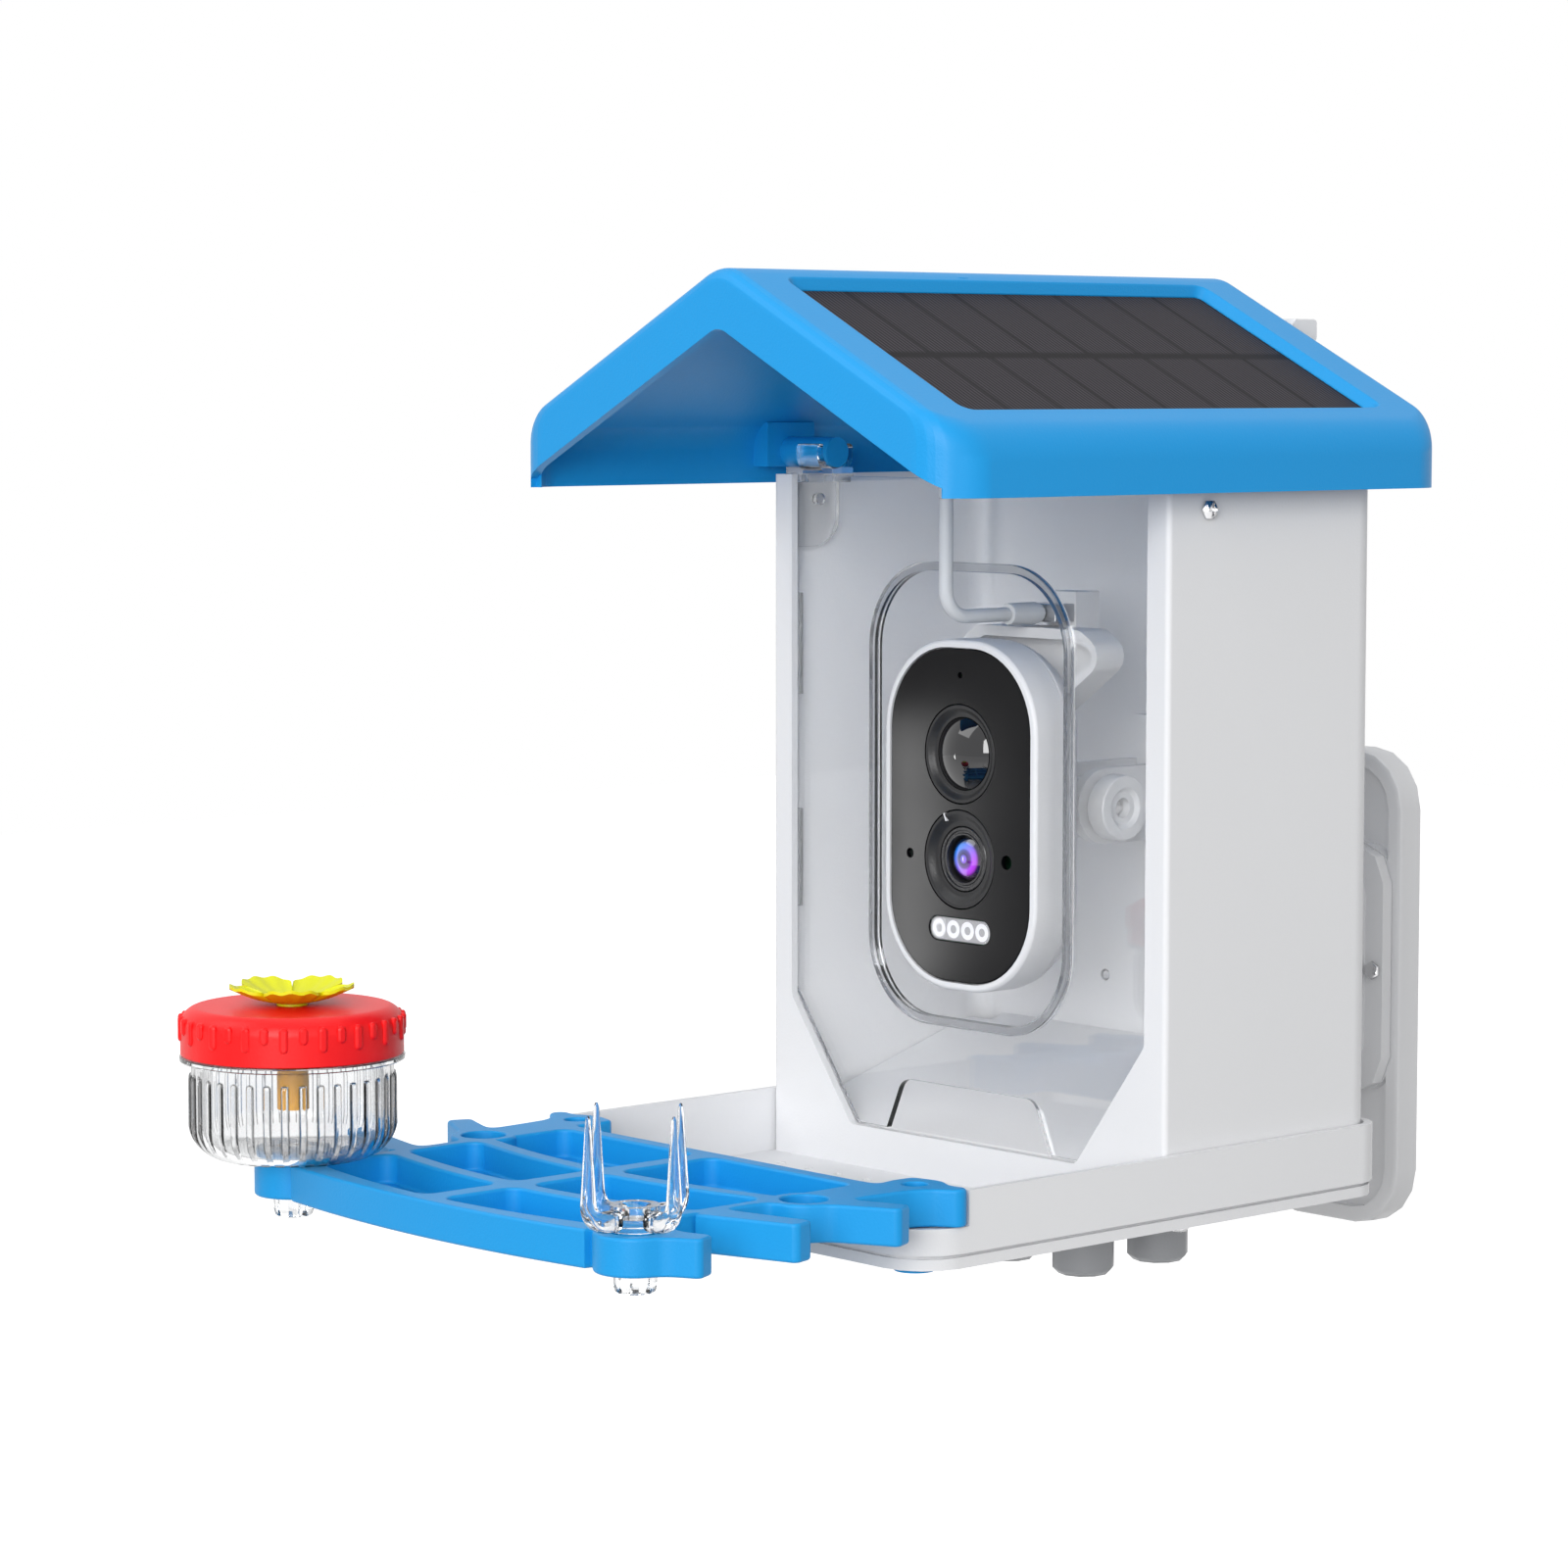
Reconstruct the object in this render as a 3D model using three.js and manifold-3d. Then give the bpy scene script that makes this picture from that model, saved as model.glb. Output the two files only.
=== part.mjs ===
// Smart bird feeder, in millimetres, +Z up: a house with a clear window and a camera behind it, a gabled roof
// with a solar panel, a seed tray, a lift-off perch tray with a nectar jar and a fruit claw, and an arm that
// reaches back to a wall plate.
// The feeder is drawn in its own frame: X = 0 is the middle plane, Y = 0 the outside of the front wall,
// Z = 0 the top of the tray floor. The last lines set the origin on the back face of the wall plate.
import * as THREE from 'three';
import { mergeVertices } from 'three/addons/utils/BufferGeometryUtils.js';
import Module from 'manifold-3d';

const wasm = await Module();
wasm.setup();
const { Manifold, Mesh: SolidMesh } = wasm;

// Clearances
const fit = {
  seat: 0.3,
  running: 0.35,
  overrun: 2,
};

// Driving dimensions
const house = {
  halfWidth: 80,
  depth: 86.3,
  height: 201.5,
  wall: 2.3,
  frontCorner: 1.6,
  rearCorner: 9,
  sillHeight: 12,
  sillHalfWidth: 46,
  openingHalfWidth: 72,
  openingShoulder: 47.5,
  openingCorner: 3,
  postRadius: 3.2,
  postHeight: 16,
  postInsetShare: 0.7,
  windowScrewY: 15,
  windowScrewDrop: 7.5,
};
const ramp = {
  thickness: 1.8,
  front: 6.4,
  frontTop: 11.6,
  rearTop: 35,
  lipThickness: 1.8,
};
const tray = {
  halfWidth: 82.9,
  front: -94,
  rear: 89.4,
  rimTop: 18.7,
  wallFoot: 2.2,
  grooveDepth: 1.8,
  lipTop: 1.2,
  lipInset: 0.7,
  floorThickness: 1.8,
  wall: 2.4,
  frontCorner: 15,
  rearCorner: 11,
  frontWallTop: 6.4,
  notchRear: -76.6,
  drainRadius: 1.6,
  drainPitch: 12.3,
  drainCount: 11,
  drainRowPitch: 21,
  drainRows: 2,
  firstDrainRow: -13.5,
};
const perch = {
  thickness: 10,
  top: 19.6,
  backEdge: -91,
  floorThickness: 2,
  sideHalfWidth: 65.5,
  frontMiddle: -194,
  frontSide: -189,
  frontHalfWidth: 62,
  centreRib: 7,
  sideRib: 5.8,
  crossRib: 5.6,
  frontRib: 5.4,
  pocketCorner: 3.2,
  rowSag: 9,
  rowEdges: [-96.5, -132, -162],
  backSocket: [66.8, -120],
  frontSocket: [72, -181],
  backBoss: 9.4,
  frontBoss: 10.6,
  socketRadius: 6.3,
  postX: 70,
  postY: -84,
  postBoss: 8.6,
  pegRadius: 5.5,
  pegBelow: 3.1,
  fingerWidth: 7.6,
  fingerTip: 2.4,
  fingerTips: [[91.5, -108.6], [90.5, -142], [89, -173]],
  fingerRoots: [[66.8, -120], [63, -150], [72, -181]],
  hookInner: [64.5, -79.6],
  hookOuter: [81.6, -80.6],
  hookWidth: 9,
  hookTipShare: 2 / 3,
  shoulderShare: 0.75,
};
const pin = {
  radius: 5.5,
  slot: 2,
  noseShare: 0.8,
  noseHeightShare: 0.35,
  neckShare: 0.86,
  boreShare: 0.45,
};
const jar = {
  radius: 28.05,
  height: 28,
  wall: 2,
  bottomRadius: 9,
  neckRadius: 26.2,
  neckHeight: 9.6,
  flangeRadius: 30.4,
  flangeThickness: 1.3,
  fluteDepth: 0.55,
  flutes: 36,
  shoulderHeight: 2.2,
  insideEdge: 2.7,
  insideRise: 2.8,
  sealThickness: 0.8,
  pinBelow: 6.1,
};
const lid = {
  radius: 30.7,
  height: 13,
  edgeRadius: 5,
  gripDepth: 0.7,
  gripFootShare: 0.2,
  grips: 36,
};
const flower = {
  radius: 17.5,
  petals: 6,
  rise: 4.6,
  thickness: 1.3,
  portRadius: 4.2,
  stemLength: 7,
  waveDepth: 0.9,
  wavesPerPetal: 3,
  ringShares: [0.45, 1],
  petalShares: [0.72, 0.28],
  riseShare: 0.5,
};
const claw = {
  prongs: 4,
  height: 30,
  tipRadius: 14.7,
  baseRadius: 19.4,
  hubRadius: 7,
  hubHeight: 8.5,
  hubBore: 4,
  footHeight: 4.5,
  footRadius: 7.2,
  kneeHeight: 8.1,
  prongWidth: 5.4,
  tipWidthShare: 0.3,
  prongDepth: 4.4,
  pinBelow: 5.6,
};
const roof = {
  rise: 57.4,
  halfWidth: 90,
  front: -91.3,
  rear: 105.8,
  skirtOverlap: 2.7,
  slope: THREE.MathUtils.degToRad(26.57),
  wall: 3,
  ridgeRadius: 15,
  eaveRadius: 12,
  cornerRadius: 15,
  edgeRadius: 4,
  fasciaDepth: 16.4,
  openingInset: 6,
  openingCorner: 7,
  edgeShares: [0, 0.2, 1],
  cornerShares: [0.4, 1],
};
const hinge = {
  y: 7.6,
  rise: 6.5,
  pinRadius: 4.4,
  pinInner: 60.5,
  lugInner: 80.8,
  lugHalfWidth: 9.3,
  lugHeight: 13,
  saddleWall: 2.4,
  saddleWidth: 9,
  saddleInset: 6.9,
  saddleArm: 2.5,
  saddleCorner: 1.6,
};
const chimney = {
  radius: 7,
  belowRidge: 26.4,
  glandLength: 7,
  glandInnerShare: 0.5,
  glandOuterShare: 0.78,
  glandTaperShare: 0.4,
};
const liftTab = {
  halfWidth: 26,
  belowRidge: 12,
  height: 13.4,
  depth: 14,
  thickness: 2.6,
  chamfer: 4,
};
const solar = {
  length: 160,
  width: 74.3,
  thickness: 2.4,
  recess: 3,
  middleX: 43.3,
  middleY: 7.2,
  bevel: 2.2,
  corner: 2,
};
const pane = {
  thickness: 2,
  collarHalfWidth: 40.8,
  collarHalfHeight: 66.5,
  collarPlaceShare: 0.4802,
  collarCorner: 25,
  collarWall: 2.5,
  collarProud: 0.5,
  collarBehind: 0.4,
  outletBottomHalf: 33.5,
  outletTopHalf: 27,
  outletHeight: 15.1,
  outletCorner: 5,
  earDrop: 21.2,
  earRear: 22.4,
  earThickness: 2.6,
  tabDepth: 3,
  tabWidth: 3,
  tabSpans: [[-37.5, -8.5], [25.5, 55.5]],
};
const cam = {
  halfWidth: 30.8,
  halfHeight: 50,
  corner: 26,
  belowCollar: 5.1,
  front: -1,
  bandDepth: 12,
  rear: 34.4,
  rearInset: 20,
  rearCurveShare: 1.6,
  wall: 2.2,
  faceInset: 2.2,
  faceThickness: 1.8,
  frontRound: 1.2,
  frontRoundShare: 0.3,
  screwRise: 24,
};
const board = {
  thickness: 1.6,
  y: 8.6,
};
const cell = {
  radius: 8,
  length: 46,
  tipShare: 0.4,
};
const eye = {
  pirHeight: 17.6,
  pirRing: 14,
  pirDome: 10.5,
  pirRise: 3.4,
  lensHeight: -12.4,
  lensRing: 14,
  lensBarrel: 9.5,
  lensGlass: 6,
  ringDepth: 1.6,
  ledHeight: -32.6,
  ledHalfLength: 12.2,
  ledHalfWidth: 3.3,
  ledThickness: 0.9,
  micHeight: 40,
  micRadius: 0.9,
  holes: [[-20.3, -12, 1.4], [19, -11.8, 2]],
};
const yoke = {
  pivotY: 48,
  pivotRise: 0.6,
  plateThickness: 3,
  cupDepth: 8,
  cupWall: 3,
  topAbovePivot: 52,
  shoulderAbovePivot: 45,
  neckAbovePivot: 28,
  topHalfWidth: 21,
  shoulderHalfWidth: 32.5,
  neckHalfWidth: 9,
  stemHalfWidth: 7,
  hubRadius: 8,
  corner: 5.5,
};
const bracket = {
  earRadius: 11,
  earThickness: 3.5,
  plateHalfWidth: 17,
  plateHalfHeight: 24,
  plateThickness: 3.5,
  plateScrewInset: 6,
  boltRadius: 2.4,
  knobRadius: 9.5,
  knobThickness: 8,
  knobBore: 2.9,
  knobFootShare: 0.8,
  knobRecess: 6,
  knobRecessDepth: 1.2,
  nutRadius: 4.6,
  nutThickness: 3.8,
};
const cord = {
  radius: 2,
  x: 0,
  y: -6.3,
  aboveCamera: 56.6,
  splitAboveBend: 33.5,
  bend: 8,
  bootRadius: 3.2,
  bootNoseShare: 0.8,
  bootFront: 18,
  bootRear: 31,
  plugHalfWidth: 6,
  plugHalfHeight: 2.6,
  plugRear: 40,
  tipHalfWidth: 4.2,
  tipHalfHeight: 1.2,
  tipRear: 46.5,
};
const arm = {
  length: 69,
  halfWidth: 20,
  bottom: 20,
  top: 82,
  wall: 3,
  corner: 8,
  flangeGrowth: 7,
  flangeThickness: 4,
};
const plate = {
  halfWidth: 30,
  bottom: -28.5,
  height: 146,
  thickness: 9,
  corner: 18,
  lip: 5,
  recess: 3.4,
  edgeRadius: 2,
  edgeRoundShare: 0.3,
  slotRadius: 2.4,
  slotLength: 6,
  slotInset: 20,
};
const flange = {
  y: 50,
  radius: 46,
  thickness: 9,
  chamfer: 2.5,
  postRadius: 9,
  postPitch: 31,
  postBottom: -27.5,
  postChamfer: 1.8,
  boreDepth: 3.4,
};
const screw = {
  headRadius: 2.8,
  headHeight: 1.9,
  shankRadius: 1.5,
  rimShare: 0.5,
  topShare: 0.7,
  driveWidth: 0.9,
  driveDepth: 1,
  driveReachShare: 0.62,
};

// Places worked out from the driving dimensions
const trayBottom = -tray.floorThickness;
const paneFront = house.wall + fit.seat;
const paneBack = paneFront + pane.thickness;
const paneHalfWidth = house.halfWidth - house.wall - fit.seat;
const paneTop = house.height - fit.seat;
const paneFoot = house.sillHeight + fit.seat;
const outletTop = paneFoot + pane.outletHeight;
const collarMiddle = outletTop + (house.height - outletTop) * pane.collarPlaceShare;
const collarEnd = paneBack + pane.collarBehind;
const windowScrewZ = house.height - house.windowScrewDrop;
const postInset = house.wall + house.postRadius * house.postInsetShare;
const housePosts = [
  [house.halfWidth - postInset, paneBack + pane.tabDepth + house.postRadius],
  [house.halfWidth - house.rearCorner, house.depth - postInset],
].flatMap(([x, y]) => [[x, y], [-x, y]]);

const ridge = house.height + roof.rise;
const roofBottom = house.height - roof.skirtOverlap;
const tanSlope = Math.tan(roof.slope);
const cosSlope = Math.cos(roof.slope);
const roofApex = ridge + roof.ridgeRadius * (1 / cosSlope - 1);
const hingeZ = house.height + hinge.rise;
const chimneyBottom = ridge - chimney.belowRidge;

const cameraMiddle = collarMiddle - cam.belowCollar;
const cameraScrewZ = cameraMiddle + cam.screwRise;
const bandRear = cam.front + cam.bandDepth;
const cupBack = cam.rear + fit.seat + yoke.plateThickness;
const pivotZ = cameraMiddle + yoke.pivotRise;
const earOutside = yoke.stemHalfWidth + fit.running + bracket.earThickness;
const bracketScrewHeights = [-1, 1].map((sign) =>
  pivotZ + sign * (bracket.plateHalfHeight - bracket.plateScrewInset));
const cableLow = cameraMiddle + cord.aboveCamera;
const cableSplit = cableLow + cord.splitAboveBend;

const perchBottom = perch.top - perch.thickness;
const plateFront = house.depth + arm.length;
const plateBack = plateFront + plate.thickness;
const plateMiddle = plate.bottom + plate.height / 2;
const armScrewPlaces = [-1, 1].map((side) =>
  [side * (arm.halfWidth + arm.flangeGrowth / 2), (arm.bottom + arm.top) / 2]);
const flangePosts = [-1, 1].flatMap((sy) => [-1, 1].map((sx) =>
  [sx * flange.postPitch / 2, flange.y + sy * flange.postPitch / 2]));

// Shapes and solids
function corner(x, y, radius = 0) {
  return { point: new THREE.Vector2(x, y), radius };
}

// A closed outline whose corners are rounded by true arcs
function outline(corners) {
  const shape = new THREE.Shape();
  corners.forEach(({ point, radius }, i) => {
    const before = corners[(i + corners.length - 1) % corners.length].point;
    const after = corners[(i + 1) % corners.length].point;
    const back = before.clone().sub(point).normalize();
    const ahead = after.clone().sub(point).normalize();
    const half = Math.acos(THREE.MathUtils.clamp(back.dot(ahead), -1, 1)) / 2;
    if (radius === 0 || half > Math.PI / 2 - 1e-3) {
      if (i === 0) shape.moveTo(point.x, point.y);
      else shape.lineTo(point.x, point.y);
      return;
    }
    const start = point.clone().addScaledVector(back, radius / Math.tan(half));
    const end = point.clone().addScaledVector(ahead, radius / Math.tan(half));
    const middle = back.clone().add(ahead).normalize();
    const centre = point.clone().addScaledVector(middle, radius / Math.sin(half));
    if (i === 0) shape.moveTo(start.x, start.y);
    else shape.lineTo(start.x, start.y);
    const from = Math.atan2(start.y - centre.y, start.x - centre.x);
    const to = Math.atan2(end.y - centre.y, end.x - centre.x);
    shape.absarc(centre.x, centre.y, radius, from, to, back.cross(ahead) > 0);
  });
  shape.closePath();
  return shape;
}

function box2(left, right, low, high, radius = 0, topRadius = radius) {
  return outline([
    corner(left, low, radius), corner(right, low, radius),
    corner(right, high, topRadius), corner(left, high, topRadius),
  ]);
}

function disc(x, y, radius) {
  const shape = new THREE.Shape();
  const quarter = Math.PI / 2;
  for (let i = 0; i < 4; i += 1) shape.absarc(x, y, radius, i * quarter, (i + 1) * quarter, false);
  shape.closePath();
  return shape;
}

function capsule(from, to, startRadius, endRadius) {
  const a = new THREE.Vector2(...from);
  const b = new THREE.Vector2(...to);
  const along = Math.atan2(b.y - a.y, b.x - a.x);
  const shape = new THREE.Shape();
  shape.absarc(b.x, b.y, endRadius, along - Math.PI / 2, along + Math.PI / 2, false);
  shape.absarc(a.x, a.y, startRadius, along + Math.PI / 2, along + 1.5 * Math.PI, false);
  shape.closePath();
  return shape;
}

function signedVolume(position, index) {
  const [a, b, c] = [new THREE.Vector3(), new THREE.Vector3(), new THREE.Vector3()];
  let sum = 0;
  for (let i = 0; i < index.count; i += 3) {
    a.fromBufferAttribute(position, index.getX(i));
    b.fromBufferAttribute(position, index.getX(i + 1));
    c.fromBufferAttribute(position, index.getX(i + 2));
    sum += a.dot(b.cross(c));
  }
  return sum;
}

// A closed three.js geometry as a solid, turned to face outward
function solid(geometry) {
  geometry.deleteAttribute('normal');
  geometry.deleteAttribute('uv');
  const merged = mergeVertices(geometry, 1e-4);
  const position = merged.getAttribute('position');
  const triVerts = new Uint32Array(merged.index.array);
  if (signedVolume(position, merged.index) < 0) {
    for (let i = 0; i < triVerts.length; i += 3) {
      [triVerts[i + 1], triVerts[i + 2]] = [triVerts[i + 2], triVerts[i + 1]];
    }
  }
  const vertProperties = new Float32Array(position.array);
  return new Manifold(new SolidMesh({ numProp: 3, vertProperties, triVerts }));
}

function geometryOf(manifold) {
  const data = manifold.getMesh();
  const geometry = new THREE.BufferGeometry();
  geometry.setAttribute('position', new THREE.BufferAttribute(new Float32Array(data.vertProperties), 3));
  geometry.setIndex(new THREE.BufferAttribute(new Uint32Array(data.triVerts), 1));
  geometry.computeVertexNormals();
  return geometry;
}

function extruded(shape, length, segments) {
  return new THREE.ExtrudeGeometry(shape, { depth: length, bevelEnabled: false, curveSegments: segments });
}

// An outline in X and Y, raised from one height to another
function upright(shape, low, high, segments = 2) {
  return solid(extruded(shape, high - low, segments).translate(0, 0, low));
}

// An outline in X and Z, drawn out along Y
function alongY(shape, front, rear, segments = 2) {
  return solid(extruded(shape, rear - front, segments).rotateX(Math.PI / 2).translate(0, rear, 0));
}

// An outline in Y and Z, drawn out along X
function alongX(shape, left, right, segments = 2) {
  const turn = new THREE.Matrix4().makeBasis(
    new THREE.Vector3(0, 1, 0), new THREE.Vector3(0, 0, 1), new THREE.Vector3(1, 0, 0));
  return solid(extruded(shape, right - left, segments).applyMatrix4(turn).translate(left, 0, 0));
}

function brick(left, right, front, rear, low, high) {
  return upright(box2(left, right, front, rear), low, high);
}

// A solid of revolution about Z from [radius, height] pairs, closed on the axis
function turned(profile, segments = 24) {
  const points = profile.map(([r, z]) => new THREE.Vector2(r, z));
  return solid(new THREE.LatheGeometry(points, segments).rotateX(Math.PI / 2));
}

function rod(radius, low, high, segments = 16) {
  return turned([[0, low], [radius, low], [radius, high], [0, high]], segments);
}

// A rod whose ends lie at two places on the X axis
function rodX(radius, left, right, segments = 16) {
  return rod(radius, left, right, segments).rotate([0, 90, 0]);
}

// A rod whose ends lie at two places on the Y axis, and the same for any turned solid that points up
function facingFront(part) {
  return part.rotate([90, 0, 0]);
}

// A skin through rings of equally many points, with flat ends
function loft(rings) {
  const points = [];
  const index = [];
  const count = rings[0].length;
  rings.forEach((ring) => ring.forEach((p) => points.push(p.x, p.y, p.z)));
  for (let r = 0; r < rings.length - 1; r += 1) {
    for (let i = 0; i < count; i += 1) {
      const j = (i + 1) % count;
      const [a, b] = [r * count + i, r * count + j];
      index.push(a, b, b + count, a, b + count, a + count);
    }
  }
  [[0, false], [rings.length - 1, true]].forEach(([r, last]) => {
    const middle = rings[r].reduce((sum, p) => sum.add(p), new THREE.Vector3()).divideScalar(count);
    points.push(middle.x, middle.y, middle.z);
    const hub = points.length / 3 - 1;
    for (let i = 0; i < count; i += 1) {
      const [a, b] = [r * count + i, r * count + ((i + 1) % count)];
      if (last) index.push(hub, a, b);
      else index.push(hub, b, a);
    }
  });
  const geometry = new THREE.BufferGeometry();
  geometry.setAttribute('position', new THREE.Float32BufferAttribute(points, 3));
  geometry.setIndex(index);
  return solid(geometry);
}

// A rounded rectangle as a ring of points, for lofts
function ringOf(halfWidth, halfHeight, radius, perCorner, place) {
  const points = [];
  for (let q = 0; q < 4; q += 1) {
    const [sx, sy] = [[1, 1], [-1, 1], [-1, -1], [1, -1]][q];
    for (let i = 0; i <= perCorner; i += 1) {
      const angle = (q + i / perCorner) * Math.PI / 2;
      const x = sx * (halfWidth - radius) + radius * Math.cos(angle);
      const y = sy * (halfHeight - radius) + radius * Math.sin(angle);
      points.push(place(x, y));
    }
  }
  return points;
}

function join(parts) {
  return parts.reduce((sum, part) => sum.add(part));
}

function mirrored(part) {
  return part.mirror([1, 0, 0]);
}

function bothSides(part) {
  return part.add(mirrored(part));
}

// A pan head with its shank, standing on z = 0 with the shank below
function panScrew(shankLength) {
  return turned([
    [0, -shankLength], [screw.shankRadius, -shankLength], [screw.shankRadius, 0], [screw.headRadius, 0],
    [screw.headRadius, screw.headHeight * screw.rimShare],
    [screw.headRadius * screw.topShare, screw.headHeight], [0, screw.headHeight],
  ], 6);
}

// The same with a Phillips recess, for screws that show
function crossScrew(shankLength) {
  const reach = screw.headRadius * screw.driveReachShare;
  const slot = brick(-reach, reach, -screw.driveWidth / 2, screw.driveWidth / 2,
    screw.headHeight - screw.driveDepth, screw.headHeight + fit.overrun);
  return panScrew(shankLength).subtract(slot.add(slot.rotate([0, 0, 90])));
}

// House
function housePlan(inset) {
  const side = house.halfWidth - inset;
  const rearRadius = house.rearCorner - inset;
  const frontRadius = Math.max(house.frontCorner - inset, 0);
  return outline([
    corner(-side, inset, frontRadius), corner(side, inset, frontRadius),
    corner(side, house.depth - inset, rearRadius), corner(-side, house.depth - inset, rearRadius),
  ]);
}

function makeHouse() {
  const walls = upright(housePlan(0), 0, house.height)
    .subtract(upright(housePlan(house.wall), -fit.overrun, house.height + fit.overrun));
  const opening = alongY(outline([
    corner(-house.sillHalfWidth, house.sillHeight, house.openingCorner),
    corner(house.sillHalfWidth, house.sillHeight, house.openingCorner),
    corner(house.openingHalfWidth, house.openingShoulder),
    corner(house.openingHalfWidth, house.height + fit.overrun),
    corner(-house.openingHalfWidth, house.height + fit.overrun),
    corner(-house.openingHalfWidth, house.openingShoulder),
  ]), -fit.overrun, house.wall + fit.overrun);
  const screwHoles = rodX(screw.shankRadius + fit.seat, -house.halfWidth - fit.overrun,
    house.halfWidth + fit.overrun, 12).translate(0, house.windowScrewY, windowScrewZ);
  const posts = join(housePosts.map(([x, y]) =>
    rod(house.postRadius, 0, house.postHeight, 10).translate(x, y, 0)));
  const sockets = join(housePosts.map(([x, y]) =>
    rod(screw.shankRadius + fit.seat, -fit.overrun, house.postHeight - house.wall, 6).translate(x, y, 0)));
  const armHoles = join(armScrewPlaces.map(([x, z]) => facingFront(rod(screw.shankRadius + fit.seat,
    -house.depth - fit.overrun, 0, 8)).translate(x, 0, z)));
  return walls.subtract(opening).subtract(screwHoles).add(posts).subtract(sockets).subtract(armHoles);
}

// Seed ramp: a bent sheet from the sill up to the rear wall
function makeRamp() {
  const rear = house.depth - house.wall - fit.seat;
  const side = paneHalfWidth;
  const sheet = alongX(outline([
    corner(ramp.front, fit.seat), corner(ramp.front + ramp.lipThickness, fit.seat),
    corner(ramp.front + ramp.lipThickness, ramp.frontTop - ramp.thickness),
    corner(rear - ramp.lipThickness, ramp.rearTop - ramp.thickness),
    corner(rear - ramp.lipThickness, fit.seat), corner(rear, fit.seat),
    corner(rear, ramp.rearTop), corner(ramp.front, ramp.frontTop),
  ]), -side, side);
  const corners = join(housePosts.map(([x, y]) => {
    const room = house.postRadius + fit.seat;
    const deep = y > house.depth / 2 ? house.depth : y + room;
    const near = y > house.depth / 2 ? y - room : 0;
    const far = x > 0 ? x + room + house.rearCorner : x + room;
    const low = x > 0 ? x - room : x - room - house.rearCorner;
    return brick(low, far, near, deep, -fit.overrun, ramp.rearTop + fit.overrun);
  }));
  return sheet.subtract(corners);
}

// Clear window with its collar, seed outlet, screw ears and hinge saddles
function makeWindow() {
  const drop = house.openingShoulder - house.sillHeight;
  const diagonal = (house.openingHalfWidth - house.sillHalfWidth) / drop;
  const shoulder = paneFoot + (paneHalfWidth - house.sillHalfWidth) / diagonal;
  const sheet = alongY(outline([
    corner(-pane.outletBottomHalf, paneFoot), corner(-pane.outletTopHalf, outletTop, pane.outletCorner),
    corner(pane.outletTopHalf, outletTop, pane.outletCorner), corner(pane.outletBottomHalf, paneFoot),
    corner(house.sillHalfWidth, paneFoot, house.openingCorner), corner(paneHalfWidth, shoulder),
    corner(paneHalfWidth, paneTop), corner(-paneHalfWidth, paneTop),
    corner(-paneHalfWidth, shoulder), corner(-house.sillHalfWidth, paneFoot, house.openingCorner),
  ]), paneFront, paneBack);
  const collarShape = (inset) => box2(-pane.collarHalfWidth + inset, pane.collarHalfWidth - inset,
    collarMiddle - pane.collarHalfHeight + inset, collarMiddle + pane.collarHalfHeight - inset,
    pane.collarCorner - inset);
  const collar = alongY(collarShape(0), paneFront - pane.collarProud, collarEnd);
  const bore = alongY(collarShape(pane.collarWall), -fit.overrun, collarEnd + fit.overrun);
  const earBottom = paneTop - pane.earDrop;
  const ear = alongX(outline([
    corner(paneFront, earBottom, pane.thickness), corner(pane.earRear, earBottom, house.rearCorner),
    corner(pane.earRear, paneTop), corner(paneFront, paneTop),
  ]), paneHalfWidth - pane.earThickness, paneHalfWidth);
  const saddleOuter = hinge.pinRadius + fit.running + hinge.saddleWall;
  const saddleRight = paneHalfWidth - hinge.saddleInset;
  const saddleLeft = saddleRight - hinge.saddleWidth;
  const armTop = hingeZ + hinge.saddleArm;
  const cradle = alongX(box2(hinge.y - saddleOuter, hinge.y + saddleOuter, hingeZ - saddleOuter, armTop,
    saddleOuter - fit.seat, hinge.saddleCorner), saddleLeft, saddleRight);
  const pinRoom = hinge.pinRadius + fit.running;
  const trunnionRoom = alongX(disc(hinge.y, hingeZ, pinRoom), 0, house.halfWidth)
    .add(brick(0, house.halfWidth, hinge.y - pinRoom, hinge.y + pinRoom, hingeZ, armTop + fit.overrun));
  const neck = brick(saddleLeft, paneHalfWidth, paneFront, hinge.y + saddleOuter,
    paneTop - fit.overrun, hingeZ - hinge.pinRadius);
  const tabs = join(pane.tabSpans.map(([low, high]) => brick(paneHalfWidth - pane.tabWidth, paneHalfWidth,
    paneFront, paneBack + pane.tabDepth, collarMiddle + low, collarMiddle + high)));
  const side = bothSides(join([ear, cradle.add(neck).subtract(trunnionRoom), tabs]));
  const screwHoles = rodX(screw.shankRadius + fit.seat, -house.halfWidth, house.halfWidth, 12)
    .translate(0, house.windowScrewY, windowScrewZ);
  return sheet.add(collar).subtract(bore).add(side).subtract(screwHoles);
}

function makeWindowScrew(sign) {
  const right = crossScrew(house.wall + pane.earThickness + fit.seat)
    .rotate([0, 90, 0]).translate(house.halfWidth + fit.seat, house.windowScrewY, windowScrewZ);
  return sign > 0 ? right : mirrored(right);
}

// Tray
function trayPlan(inset) {
  const side = tray.halfWidth - inset;
  const front = tray.frontCorner - inset;
  const rear = tray.rearCorner - inset;
  return outline([
    corner(-side, tray.front + inset, front), corner(side, tray.front + inset, front),
    corner(side, tray.rear - inset, rear), corner(-side, tray.rear - inset, rear),
  ]);
}

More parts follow.
